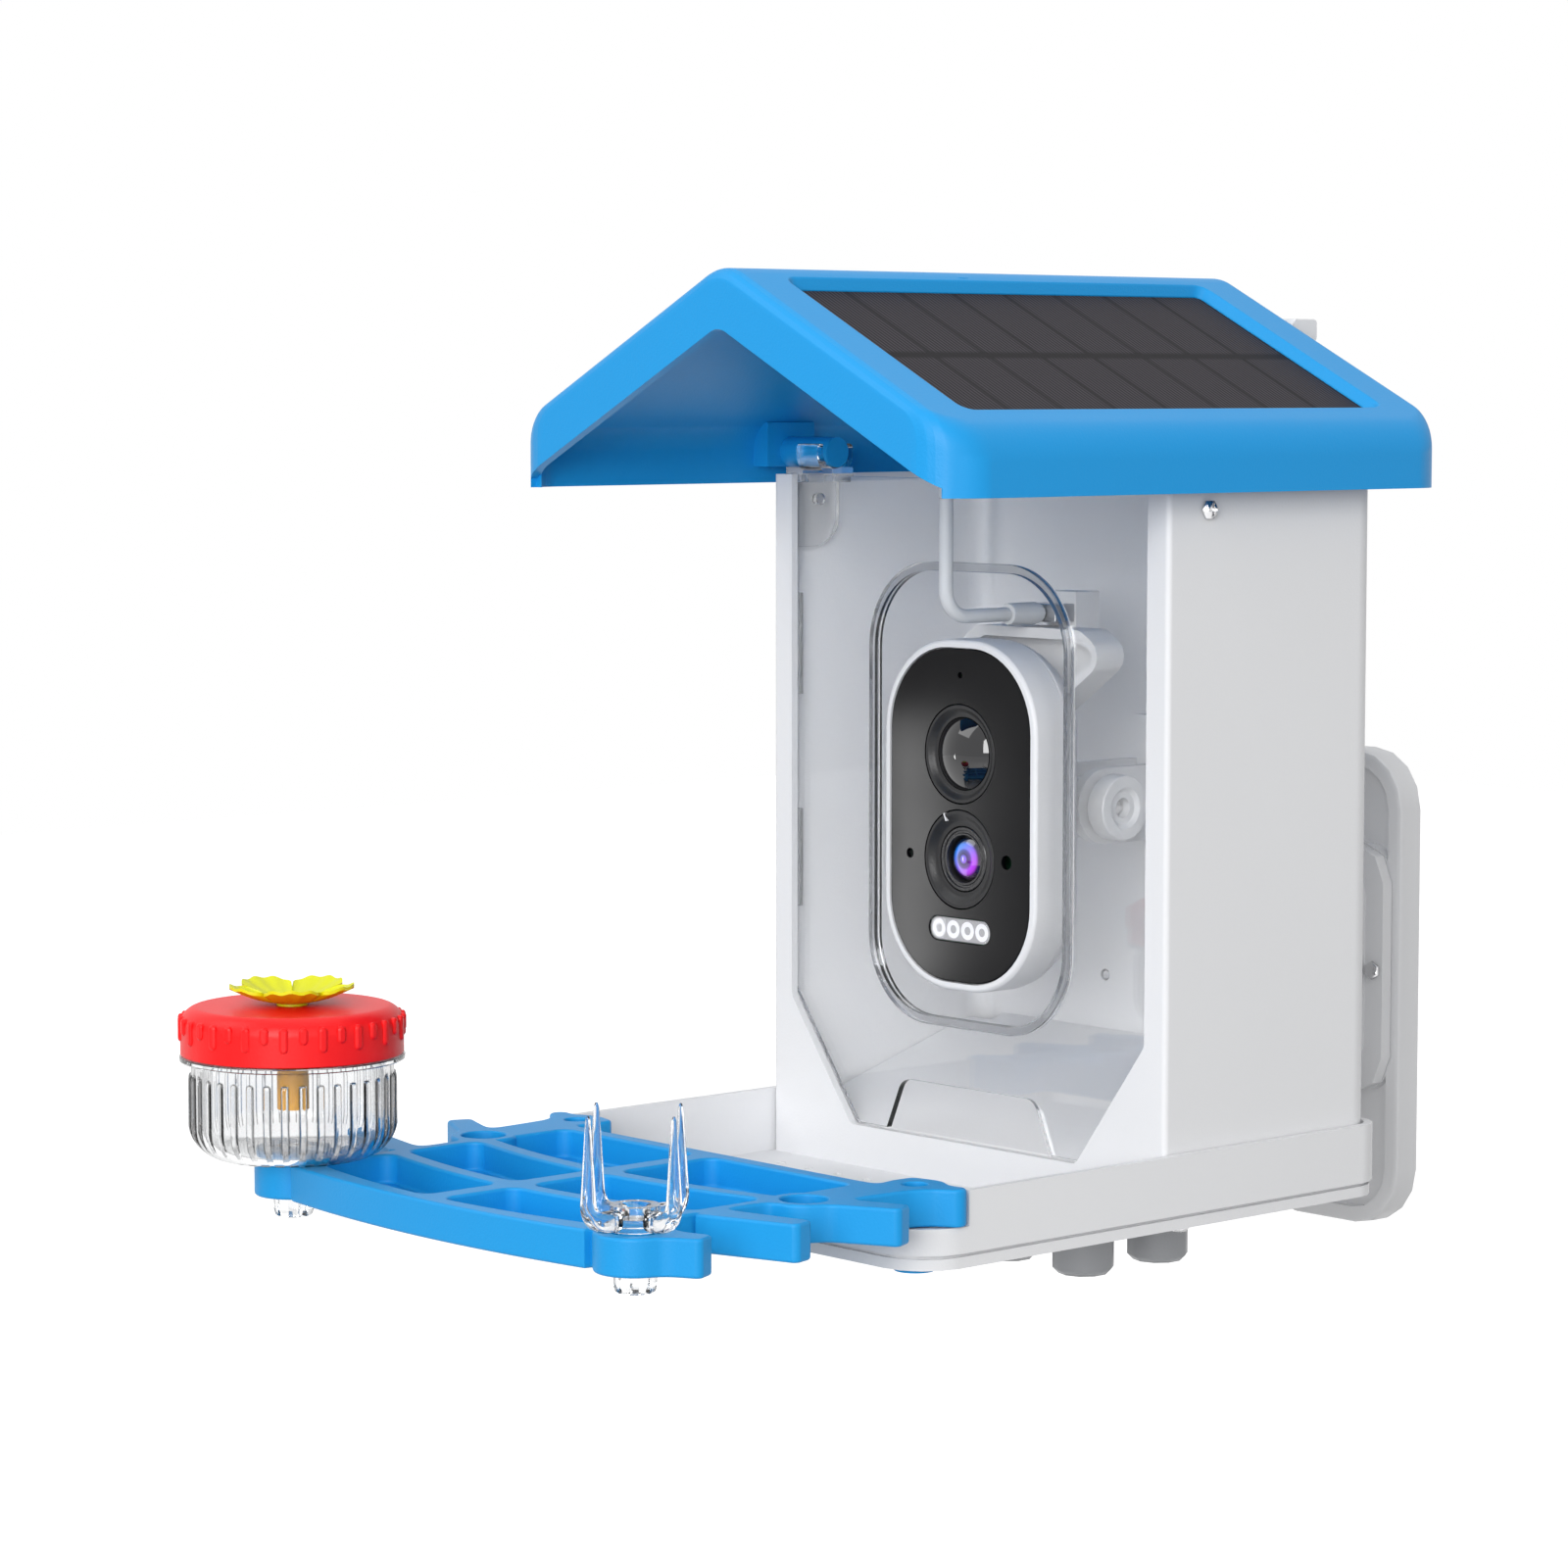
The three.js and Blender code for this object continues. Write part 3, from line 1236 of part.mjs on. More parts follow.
function makePerch() {
  const low = perchBottom;
  const raise = (shape, segments = 2) => upright(shape, low, perch.top, segments);
  const fingers = perch.fingerTips.map((tip, i) => raise(capsule(perch.fingerRoots[i],
    [tip[0] - perch.fingerTip, tip[1]], perch.fingerWidth / 2 + perch.fingerTip / 2, perch.fingerWidth / 2)));
  const bosses = [
    raise(disc(...perch.backSocket, perch.backBoss)),
    raise(disc(...perch.frontSocket, perch.frontBoss)),
    raise(disc(perch.postX, perch.postY, perch.postBoss)),
  ];
  const hooks = [perch.hookInner, perch.hookOuter].map((end) =>
    raise(capsule([perch.postX, perch.postY - fit.overrun], end, perch.hookWidth / 2,
      perch.hookWidth / 2 * perch.hookTipShare)));
  const shoulder = raise(capsule(perch.backSocket, [perch.postX, perch.postY],
    perch.backBoss * perch.shoulderShare, perch.postBoss * perch.shoulderShare));
  const right = join([...fingers, ...bosses, ...hooks, shoulder]);
  const body = raise(perchBody(), 1).add(bothSides(right));
  const floor = low + perch.floorThickness;
  const [first, second, third] = perch.rowEdges;
  const half = perch.crossRib / 2;
  const lastFront = perch.frontMiddle + perch.frontRib;
  const pockets = join([
    upright(pocket(first, second + half, true), floor, perch.top + fit.overrun, 1),
    upright(pocket(second - half, third + half, false), floor, perch.top + fit.overrun, 1),
    upright(pocket(third - half, lastFront, false), floor, perch.top + fit.overrun, 1),
  ]);
  const socketDisc = (place, radius) => upright(disc(...place, radius), floor, perch.top + fit.overrun);
  const boss = (place, radius) => upright(disc(...place, radius), low, perch.top);
  const bores = join([
    upright(disc(...perch.backSocket, perch.socketRadius), floor, perch.top + fit.overrun),
    upright(disc(...perch.frontSocket, perch.socketRadius), low - fit.overrun, perch.top + fit.overrun),
    socketDisc([perch.postX, perch.postY], perch.pegRadius - fit.overrun),
  ]);
  const peg = rod(perch.pegRadius, trayBottom - perch.pegBelow + tray.floorThickness, low + fit.overrun, 16)
    .translate(perch.postX, perch.postY, 0);
  const keep = bothSides(join([
    boss(perch.backSocket, perch.backBoss), boss(perch.frontSocket, perch.frontBoss),
  ]));
  return body.subtract(bothSides(pockets)).add(keep).subtract(bothSides(bores)).add(bothSides(peg));
}

// A cup wall whose radius swells and sinks round the axis
function fluted(rings, count, perWave = 2) {
  const steps = count * perWave;
  return rings.map(({ radius, depth, z }) => {
    const points = [];
    for (let i = 0; i < steps; i += 1) {
      const angle = 2 * Math.PI * i / steps;
      const wave = depth * Math.cos(count * angle);
      const r = radius + wave;
      points.push(new THREE.Vector3(r * Math.cos(angle), r * Math.sin(angle), z));
    }
    return points;
  });
}

// Split snap pin that stands below a foot at z = 0
function snapPin(length) {
  const { radius } = pin;
  const neck = radius * pin.neckShare;
  const stem = turned([
    [0, -length], [radius * pin.noseShare, -length], [radius, -length + radius * pin.noseHeightShare],
    [radius, -perch.thickness - fit.seat], [neck, -perch.thickness + fit.seat], [neck, fit.seat],
    [0, fit.seat],
  ], 12);
  const slot = brick(-radius - fit.overrun, radius + fit.overrun, -pin.slot / 2, pin.slot / 2,
    -length - fit.overrun, -perch.thickness / 2);
  const hollow = rod(radius * pin.boreShare, -length - fit.overrun, -perch.thickness / 2, 8);
  return stem.subtract(slot.add(slot.rotate([0, 0, 90]))).subtract(hollow);
}

function onSocket(part, sign) {
  const [x, y] = perch.frontSocket;
  return part.translate(sign * x, y, perch.top + fit.seat);
}

function makeJar() {
  const deep = jar.fluteDepth;
  const bottom = [];
  const steps = 2;
  for (let i = 0; i <= steps; i += 1) {
    const angle = Math.PI / 2 * i / steps;
    bottom.push({
      radius: jar.radius - deep - jar.bottomRadius * (1 - Math.sin(angle)),
      depth: i < steps ? 0 : deep,
      z: jar.bottomRadius * (1 - Math.cos(angle)),
    });
  }
  const wallTop = jar.height - jar.flangeThickness;
  const body = loft(fluted([...bottom,
    { radius: jar.radius - deep, depth: deep, z: wallTop - jar.shoulderHeight },
    { radius: jar.radius - deep, depth: 0, z: wallTop + deep },
  ], jar.flutes));
  const neckTop = jar.height + jar.neckHeight;
  const rim = turned([
    [0, wallTop], [jar.flangeRadius, wallTop], [jar.flangeRadius, jar.height], [jar.neckRadius, jar.height],
    [jar.neckRadius, neckTop], [0, neckTop],
  ], 24);
  const inside = jar.radius - deep * 2 - jar.wall;
  const hollow = turned([
    [0, jar.wall], [inside - jar.bottomRadius, jar.wall],
    [inside - jar.insideEdge, jar.wall + jar.insideRise], [inside, jar.bottomRadius],
    [inside, wallTop - jar.wall], [jar.neckRadius - jar.wall, wallTop],
    [jar.neckRadius - jar.wall, neckTop + fit.overrun], [0, neckTop + fit.overrun],
  ], 24);
  const cup = body.add(rim).subtract(hollow);
  return onSocket(cup.add(snapPin(perch.thickness + jar.pinBelow)), -1);
}

function makeJarSeal() {
  const z = jar.height + jar.neckHeight + fit.seat;
  const outer = jar.neckRadius;
  return onSocket(turned([[outer - jar.wall, z], [outer, z], [outer, z + jar.sealThickness],
    [outer - jar.wall, z + jar.sealThickness], [outer - jar.wall, z]], 16), -1);
}

function makeLid() {
  const low = jar.height + fit.seat;
  const high = low + lid.height;
  const rings = [];
  const steps = 2;
  const body = lid.radius - lid.gripDepth;
  rings.push({ radius: body, depth: 0, z: low });
  rings.push({ radius: body, depth: lid.gripDepth, z: low + lid.height * lid.gripFootShare });
  rings.push({ radius: body, depth: lid.gripDepth, z: high - lid.edgeRadius });
  for (let i = 1; i <= steps; i += 1) {
    const angle = Math.PI / 2 * i / steps;
    rings.push({
      radius: body - lid.edgeRadius * (1 - Math.cos(angle)),
      depth: 0,
      z: high - lid.edgeRadius + lid.edgeRadius * Math.sin(angle),
    });
  }
  const cap = loft(fluted(rings, lid.grips));
  const inside = jar.neckRadius + fit.running;
  const roomTop = jar.height + jar.neckHeight + jar.sealThickness + fit.seat * 2;
  const room = rod(inside, 0, roomTop, 24);
  const port = rod(flower.portRadius + fit.seat, 0, high + fit.overrun, 12);
  return onSocket(cap.subtract(room).subtract(port), -1);
}

// Flower with a feeding port: petals that rise and wave outward from a short stem
function makeFlower() {
  const base = jar.height + fit.seat + lid.height + fit.seat;
  const around = flower.petals * 6;
  const [core, reach] = flower.petalShares;
  const skin = (offset) => flower.ringShares.map((share) => {
    const points = [];
    for (let i = 0; i < around; i += 1) {
      const angle = 2 * Math.PI * i / around;
      const petal = Math.sqrt(Math.abs(Math.cos(flower.petals * angle / 2)));
      const radius = flower.radius * share * (core + reach * (petal * share + 1 - share));
      const wave = flower.waveDepth * Math.sin(flower.wavesPerPetal * flower.petals * angle) * share ** 2;
      const rise = flower.rise * share ** 2 * (1 - flower.riseShare * (1 - petal));
      const [x, y] = [radius * Math.cos(angle), radius * Math.sin(angle)];
      points.push(new THREE.Vector3(x, y, rise + wave + offset));
    }
    return points;
  });
  const lower = skin(0);
  const upper = skin(flower.thickness);
  const petals = loft([...lower, ...upper.reverse()]);
  const stem = turned([
    [0, -flower.stemLength], [flower.portRadius, -flower.stemLength], [flower.portRadius, flower.thickness],
    [0, flower.thickness],
  ], 12);
  const bore = rod(flower.portRadius / 2, -flower.stemLength - fit.overrun, flower.rise + fit.overrun, 8);
  return onSocket(petals.add(stem).subtract(bore).translate(0, 0, base), -1);
}

// Fruit claw: a hub with a snap pin and four tapering prongs
function makeClaw() {
  const inner = claw.baseRadius - claw.prongDepth;
  const profile = outline([
    corner(0, 0), corner(claw.baseRadius, 0, claw.footRadius),
    corner(claw.baseRadius, claw.kneeHeight, claw.footHeight),
    corner(claw.tipRadius + fit.seat, claw.height), corner(claw.tipRadius - fit.seat, claw.height),
    corner(inner, claw.kneeHeight, claw.footHeight), corner(inner, claw.footHeight, claw.footHeight / 2),
    corner(0, claw.footHeight),
  ]);
  const half = claw.prongWidth / 2;
  const flat = alongY(profile, -half, half, 1);
  const tip = half * claw.tipWidthShare;
  const taper = alongX(outline([
    corner(-half, 0), corner(half, 0), corner(half, claw.footHeight * 2), corner(tip, claw.height + fit.seat),
    corner(-tip, claw.height + fit.seat), corner(-half, claw.footHeight * 2),
  ]), -claw.baseRadius - fit.overrun, claw.baseRadius + fit.overrun);
  const prong = flat.intersect(taper);
  const prongs = [];
  for (let i = 0; i < claw.prongs; i += 1) prongs.push(prong.rotate([0, 0, 360 * i / claw.prongs]));
  const hub = rod(claw.hubRadius, 0, claw.hubHeight, 12);
  const bore = rod(claw.hubBore, claw.footHeight, claw.hubHeight + fit.overrun, 12);
  return onSocket(join([hub, ...prongs]).subtract(bore)
    .add(snapPin(perch.thickness + claw.pinBelow)), 1);
}

// Wall plate with a raised lip and two keyhole slots, and the hollow arm that carries the house
function makeWallPlate() {
  const shape = (inset) => box2(-plate.halfWidth + inset, plate.halfWidth - inset,
    plate.bottom + inset, plate.bottom + plate.height - inset, plate.corner - inset);
  const edge = plate.edgeRadius * plate.edgeRoundShare;
  const slab = loft([[plate.edgeRadius, 0], [edge, edge],
    [0, plate.edgeRadius], [0, plate.thickness]].map(([inset, depth]) =>
    ringOf(plate.halfWidth - inset, plate.height / 2 - inset, plate.corner - inset, 4,
      (x, z) => new THREE.Vector3(x, plateFront + depth, plateMiddle + z))));
  const recess = alongY(shape(plate.lip), plateFront - fit.overrun, plateFront + plate.recess);
  const pad = alongY(armShape(arm.flangeGrowth), plateFront, plateFront + plate.recess);
  const slotAt = (z) => {
    const narrow = alongY(capsule([0, z], [0, z + plate.slotLength], plate.slotRadius, plate.slotRadius),
      plateFront - fit.overrun, plateBack + fit.overrun, 1);
    const wide = alongY(disc(0, z, plate.slotRadius * 2), plateFront - fit.overrun,
      plateBack + fit.overrun, 1);
    return narrow.add(wide);
  };
  const slots = slotAt(plate.bottom + plate.slotInset)
    .add(slotAt(plate.bottom + plate.height - plate.slotInset - plate.slotLength));
  const holes = join(armScrewPlaces.map(([x, z]) => facingFront(rod(screw.shankRadius + fit.seat,
    -plateBack - fit.overrun, 0, 12)).translate(x, 0, z)));
  return slab.subtract(recess).add(pad).subtract(slots).subtract(holes);
}

function armShape(growth) {
  return box2(-arm.halfWidth - growth, arm.halfWidth + growth, arm.bottom - growth, arm.top + growth,
    arm.corner + growth / 2);
}

function makeArm() {
  const front = house.depth + fit.seat;
  const rear = plateFront - fit.seat;
  const flanges = alongY(armShape(arm.flangeGrowth), front, front + arm.flangeThickness, 1)
    .add(alongY(armShape(arm.flangeGrowth), rear - arm.flangeThickness, rear, 1));
  const tube = alongY(armShape(0), front, rear, 1);
  const bore = alongY(armShape(-arm.wall), front - fit.overrun, rear + fit.overrun, 1);
  const trayRoom = brick(-house.halfWidth, house.halfWidth, 0, tray.rear + fit.seat,
    0, tray.rimTop + fit.seat);
  const holes = join(armScrewPlaces.map(([x, z]) => facingFront(rod(screw.shankRadius + fit.seat,
    -rear - fit.overrun, -front + fit.overrun, 12)).translate(x, 0, z)));
  return flanges.add(tube).subtract(bore).subtract(trayRoom).subtract(holes);
}

// Arm screws: at the house their heads lie on the flange, at the plate too
function makeArmScrew(place, atPlate) {
  const [x, z] = place;
  const headAt = atPlate ? plateFront - fit.seat - arm.flangeThickness - fit.seat
    : house.depth + fit.seat + arm.flangeThickness + fit.seat;
  const length = arm.flangeThickness + house.wall + fit.seat;
  const part = panScrew(length);
  return (atPlate ? part.rotate([90, 0, 0]) : part.rotate([-90, 0, 0])).translate(x, headAt, z);
}

// Materials
function finish(color, roughness, metalness = 0, opacity = 1) {
  return new THREE.MeshStandardMaterial({ color, roughness, metalness, opacity, transparent: opacity < 1 });
}

const white = finish(0xe9ebee, 0.45);
const blue = finish(0x2e96e6, 0.42);
const clear = finish(0xdfe8ee, 0.05, 0, 0.35);
const black = finish(0x0b0b0d, 0.12);
const darkGrey = finish(0x2a2a2e, 0.4);
const grey = finish(0xa5a9ae, 0.5);
const red = finish(0xe5101c, 0.42);
const yellow = finish(0xd8dc20, 0.45);
const steel = finish(0xb9bcc0, 0.3, 1);
const cells = finish(0x232229, 0.3);
const rubber = finish(0xd5d8dc, 0.6);

// Assembly
const feeder = new THREE.Group();
feeder.position.set(0, -plateBack, -plateMiddle);

function place(name, part, material) {
  const mesh = new THREE.Mesh(geometryOf(part), material);
  mesh.name = name;
  feeder.add(mesh);
}

place('house_shell', makeHouse(), white);
place('seed_ramp', makeRamp(), white);
place('tray_base', makeTray(), white);
place('clear_window', makeWindow(), clear);
place('window_screw_right', makeWindowScrew(1), steel);
place('window_screw_left', makeWindowScrew(-1), steel);
housePosts.forEach((post, i) => place(`tray_screw_${i + 1}`, makeTrayScrew(post), steel));

place('roof_shell', makeRoof(), blue);
place('solar_panel', makeSolarPanel(), cells);
place('cable_gland', makeGland(), rubber);
place('roof_lift_tab', makeLiftTab(), white);
place('solar_cable_drop', makeCableDrop(), rubber);
place('solar_cable_elbow', makeCableElbow(), rubber);
place('usb_boot', makeBoot(), rubber);
place('usb_plug', makePlug(), steel);

place('camera_shell', makeCameraShell(), white);
place('camera_face', makeCameraFace(), black);
place('pir_ring', faceCollar(eye.pirRing, eye.pirDome, eye.pirHeight), darkGrey);
place('pir_lens', makePirLens(), black);
place('lens_ring', faceCollar(eye.lensRing, eye.lensBarrel, eye.lensHeight), darkGrey);
place('lens_barrel', makeLensBarrel(), black);
place('camera_lens', makeCameraLens(), black);
place('led_window', makeLedWindow(), clear);
place('camera_back', makeCameraBack(), white);
place('camera_board', makeCameraBoard(), grey);
place('battery_cell', makeBatteryCell(), grey);
place('camera_screw', makeCameraScrew(), steel);
place('camera_yoke', makeYoke(), white);
place('tilt_bolt', makeTiltBolt(), steel);
place('tilt_knob', makeTiltKnob(), white);
place('tilt_nut', makeTiltNut(), steel);
place('bracket_base', makeBracket(), white);

place('perch_tray', makePerch(), blue);
place('nectar_jar', makeJar(), clear);
place('jar_seal', makeJarSeal(), rubber);
place('jar_lid', makeLid(), red);
place('flower_port', makeFlower(), yellow);
place('fruit_claw', makeClaw(), clear);

place('pole_flange', makeFlange(), grey);
flangePosts.forEach((post, i) => place(`flange_screw_${i + 1}`, makeFlangeScrew(post), steel));
place('mount_arm', makeArm(), white);
armScrewPlaces.forEach((at, i) => place(`arm_screw_house_${i + 1}`, makeArmScrew(at, false), steel));
armScrewPlaces.forEach((at, i) => place(`arm_screw_plate_${i + 1}`, makeArmScrew(at, true), steel));
place('wall_plate', makeWallPlate(), white);

export default feeder;
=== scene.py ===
import math

import bmesh
import bpy
from mathutils import Matrix, Vector


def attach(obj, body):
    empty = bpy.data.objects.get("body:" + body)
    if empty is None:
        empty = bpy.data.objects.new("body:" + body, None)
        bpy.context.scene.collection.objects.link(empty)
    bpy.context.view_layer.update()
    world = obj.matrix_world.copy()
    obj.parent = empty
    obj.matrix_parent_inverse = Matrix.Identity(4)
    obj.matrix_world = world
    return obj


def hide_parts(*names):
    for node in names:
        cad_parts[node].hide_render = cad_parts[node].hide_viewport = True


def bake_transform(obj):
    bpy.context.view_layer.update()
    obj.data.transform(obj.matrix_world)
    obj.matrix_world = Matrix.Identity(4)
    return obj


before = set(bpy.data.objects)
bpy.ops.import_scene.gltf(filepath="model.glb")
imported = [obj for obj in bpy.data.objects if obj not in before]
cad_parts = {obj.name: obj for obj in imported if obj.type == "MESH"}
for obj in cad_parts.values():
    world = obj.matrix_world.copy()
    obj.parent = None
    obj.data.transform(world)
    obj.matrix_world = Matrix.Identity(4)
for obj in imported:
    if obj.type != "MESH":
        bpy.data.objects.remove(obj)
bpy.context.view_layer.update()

# The feeder is measured in millimetres in the house's own frame: X = 0 is its middle plane, Y = 0 the
# outside of its front wall and Z = 0 the top of the tray's floor. The frame's origin lies on the wall.
MM = 0.001
WALL_Y = 164.3
WALL_Z = 44.5
GAP = 0.3
OVER = 2.0
HAIR = 0.01
WELD = 0.002

# Roof and hinge
SLOPE = math.radians(26.57)
TAN = math.tan(SLOPE)
COS = math.cos(SLOPE)
ROOF = dict(ridge=258.9, half=90.0, front=-91.3, rear=105.8, bottom=198.8, wall=3.0, ridge_r=15.0,
            eave_r=12.0, corner_r=15.0, edge_r=4.0, fascia=16.4, mouth_inset=6.0, mouth_r=7.0,
            chimney_r=7.0, chimney_low=232.5, wire_r=2.3, wire_low=230.5, wire_high=239.5)
APEX = ROOF["ridge"] + ROOF["ridge_r"] * (1 / COS - 1)
SOLAR = dict(length=160.0, width=74.3, thick=2.4, recess=3.0, x=43.3, y=7.2, corner=2.0)
SOLAR_RIM = ((2.75, 0.35), (0.5, 1.75), (0.1, 2.2), (0.0, 2.6))
CELL = dict(count=8, finger_pitch=1.4, finger_half=0.36, seam_half=1.7, bus_half=1.6)
HINGE = dict(y=7.6, z=208.0, pin_r=4.4, play=0.35, pin_inner=60.5, lug_inner=80.8, lug_half=9.3,
             lug=13.0, wall=2.4, width=9.0, inset=6.9, arm=2.5, arm_r=1.6)

# House and window
HOUSE = dict(half=80.0, depth=86.3, height=201.5, wall=2.3, front_r=1.6, rear_r=9.0, sill=12.0,
             sill_half=46.0, open_half=72.0, shoulder=47.5, open_r=3.0)
SCREW = dict(r=1.8, y=15.0, z=194.0, arm_x=23.5, arm_z=51.0)
PANE = dict(front=2.6, back=4.6, half=77.4, out_low=33.5, out_top=27.0, out_high=15.1, out_r=5.0,
            ear_low=180.0, ear_rear=22.4, ear=2.6, ear_front_r=1.0, ear_r=9.0, tab=3.0)
PANE_TABS = ((73.5, 102.5), (136.5, 166.5))
COLLAR = dict(half=40.8, low=44.5, high=177.5, r=25.0, wall=2.5, proud=0.5, behind=0.4, play=0.03,
              soft=0.85)

# Camera; heights on its face are from its middle
CAM = dict(half=30.8, tall=50.0, r=26.0, mid=105.9, front=-1.0, band=12.0, rear=34.4, inset=20.0,
           wall=2.2, face_in=2.2, face=1.8, round=1.2, seat_in=4.4, seat=3.6, bulge=1.6)
BAND_REAR = CAM["front"] + CAM["band"]
FACE_FRONT = CAM["front"] + GAP
FACE_REAR = CAM["front"] + CAM["face"] - GAP
FACE_RIM = ((2.9, 0.0), (2.6, 0.12), (2.5, 0.3))
SENSOR_Z = 17.6
LENS_Z = -12.4
FACE_HOLES = ((14.3, 0.0, SENSOR_Z, 64), (14.3, 0.0, LENS_Z, 64), (0.9, 0.0, 40.0, 20),
              (1.4, -20.3, -12.0, 24), (2.0, 19.0, -11.8, 24))
DISH = dict(r=14.0, thick=3.1, groove=1.6, groove_deep=1.5, edge=0.15, edge_in=0.12, rim=0.7, lip=0.6,
            deep=1.6, power=1.3, foot=1.65, sensor_bore=10.5, lens_bore=9.5)
EYE_DEEP = 1.6
SENSOR = dict(r=10.2, rise=3.4, skirt=1.6)
GLASS = dict(r=6.0, rise=1.6, skirt=1.3)
TUBE_PROFILE = ((0, -6), (9.2, -6), (9.2, -0.2), (9.0, 0), (8.3, 0), (8.1, -0.35), (7.6, -0.35),
                (7.4, -0.1), (6.9, -0.1), (6.5, -1.2), (6.3, -3.2), (0, -3.2))
LIGHT = dict(z=-32.6, half=8.9, hole_r=3.6, strip_r=3.3, strip=0.5, tray_r=3.2, tray_front=0.62,
             tray_rear=0.9, cups=4, cup_x=-8.7, pitch=5.8)
CUP_PROFILE = ((0, -0.95), (2.6, -0.95), (2.6, -0.55), (1.2, -0.62), (0.9, -0.75), (0, -0.72))
MARK = dict(low=(-5.5, -1.6), high=(-6.3, 0.2), r=0.22, proud=0.12, deep=1.2)

# Perch; its right side is given and mirrored
PERCH = dict(low=9.6, top=19.6, half=65.5, rear=-91.0, rear_r=3.2, bow_half=62.0, bow_front=-194.0,
             bow=5.0, sag=9.0, rim=0.9, floor=2.0, bore_rim=0.5, peg_r=5.5, peg_low=-3.1)
POCKET = dict(left=3.5, right=59.7, r=3.6)
POCKET_ROWS = ((-96.5, -129.2, True), (-134.8, -159.2, False), (-164.8, -188.6, False))
BOSS = dict(at=(66.8, -120.0), r=9.4, bore=6.3)
SOCKET = dict(at=(72.0, -181.0), r=10.6, bore=6.3)
HOOK = dict(at=(70.0, -84.0), r=8.6, bore=3.5, root=(70.0, -86.0), root_r=4.5, tip_r=3.0,
            tips=((64.5, -79.6), (81.6, -80.6)), web_r=(7.05, 6.45))
FINGER = dict(root_half=5.0, tip_half=3.8, corner=2.2, reach=1.1)
FINGERS = ((BOSS["at"], (91.5, -108.6)), ((63.0, -150.0), (90.5, -142.0)), (SOCKET["at"], (89.0, -173.0)))

# What stands on the perch; each is drawn about its own upright axis
JAR_AT = (-SOCKET["at"][0], SOCKET["at"][1], PERCH["top"] + GAP)
CLAW_AT = (*SOCKET["at"], PERCH["top"] + GAP)
PIN = dict(r=5.5, tip_share=0.8, nose_share=0.93, nose=0.5, nose_high_share=0.35, neck_share=0.86,
           step=10.3, neck=9.7, bore_share=0.45, slot_half=1.0, slot_top=5.0)
# The jar; its last three values place the painted shade line round each flute and give its width.
JAR = dict(r=27.35, foot_r=9.0, flutes=36, flute_half=0.95, flute_tall=0.8, flute_top=23.1, shoulder=26.9,
           flute_power=0.8, inner=25.0, inner_r=7.5, floor=2.0, pin=16.1, shade_line_out=0.25, shade_line_in=1.3,
           line=0.42)
FLUTE_ACROSS = (-1.0, -0.86, -0.55, 0.0, 0.55, 0.86, 1.0)
FLUTE_END =((1.7, 1.0), (1.0, 0.93), (0.5, 0.75), (0.15, 0.45), (0.0, 0.0))
JAR_NECK = ((0, 26.7), (30.2, 26.7), (30.4, 26.9), (30.4, 27.8), (30.2, 28), (26.2, 28), (26.2, 37.6),
            (0, 37.6))
JAR_THROAT = ((25.0, 24.7), (24.2, 26.7), (24.2, 40), (0, 40))
LID = dict(low=28.3, high=41.3, edge=5.0, r=30.05, chamfer=0.25, bore=26.55, ceiling=39.0, port=4.5)
GRIP = dict(count=36, half=1.2, proud=0.65, root=1.0, feet=(6.1, 3.9), head_share=0.45)
GRIP_STEPS = ((0.2, 1.0), (0.6, 0.86), (1.0, 0.5))
FLOWER = dict(petals=5, ruffles=4, reach=17.2, thick=0.85, tube=2.9, z=41.6, foot=0.25, notch=0.56,
              lobe_power=0.3, dish=4.4, dish_power=1.7, notch_dish=0.45, ruffle_up=0.26, ruffle_out=0.008)
COLLAR_PROFILE = ((2.1, -2), (4.2, -2), (4.2, 0.5), (3.6, 1.3), (2.5, 1.3), (2.1, 1.0), (2.1, -2))
STRAW_PROFILE = ((2.1, -28.4), (4.2, -28.4), (4.2, -1.9), (2.1, -1.9), (2.1, -28.4))
CLAW = dict(hub_r=6.3, hub=6.4, bore=4.0, floor=3.0, tall=30.0, reach=14.9, bend=5.0, low=3.0, root=3.5,
            square=0.8, pin=15.6)
# Half thickness and half width of a prong: at its root, where it bends, is straight, ends, and at its tip
PRONG_HALVES = ((2.8, 2.4), (2.7, 2.4), (1.8, 2.0), (0.45, 0.7), (0.18, 0.3))

# The panel's lead runs down from the roof and bends back into the camera's boot. Each of its runs has a start
# and an end, which the script works out but does not use: heights, but for the lower end, which is a depth
CABLE = dict(x=0.0, y=-6.3, r=2.0, top=232.2, bend=8.0, low=162.5, split=196.0, split_half=0.15, end=17.7,
             upper_start=197.0, upper_end=231.0, lower_start=195.0, lower_end=17.0)


# Outlines in a plane
def quarter(steps):
    """Angles from 0 to 90 degrees in equal steps."""
    return [math.pi / 2 * i / steps for i in range(steps + 1)]


def fillet(corners, step=7.0):
    """Points of a closed outline given as (x, y, corner radius), with arcs in steps of some degrees."""
    points = []
    count = len(corners)
    for i, (x, y, r) in enumerate(corners):
        here = Vector((x, y))
        back = (Vector(corners[i - 1][:2]) - here).normalized()
        ahead = (Vector(corners[(i + 1) % count][:2]) - here).normalized()
        half = math.acos(max(-1.0, min(1.0, back.dot(ahead)))) / 2
        if r <= 0 or half > math.pi / 2 - 1e-3:
            points.append((x, y))
            continue
        start = here + back * (r / math.tan(half))
        centre = here + (back + ahead).normalized() * (r / math.sin(half))
        first = math.atan2(start.y - centre.y, start.x - centre.x)
        sweep = math.pi - 2 * half
        if back.x * ahead.y - back.y * ahead.x > 0:
            sweep = -sweep
        steps = max(2, round(abs(math.degrees(sweep)) / step))
        for k in range(steps + 1):
            a = first + sweep * k / steps
            points.append((centre.x + r * math.cos(a), centre.y + r * math.sin(a)))
    return points


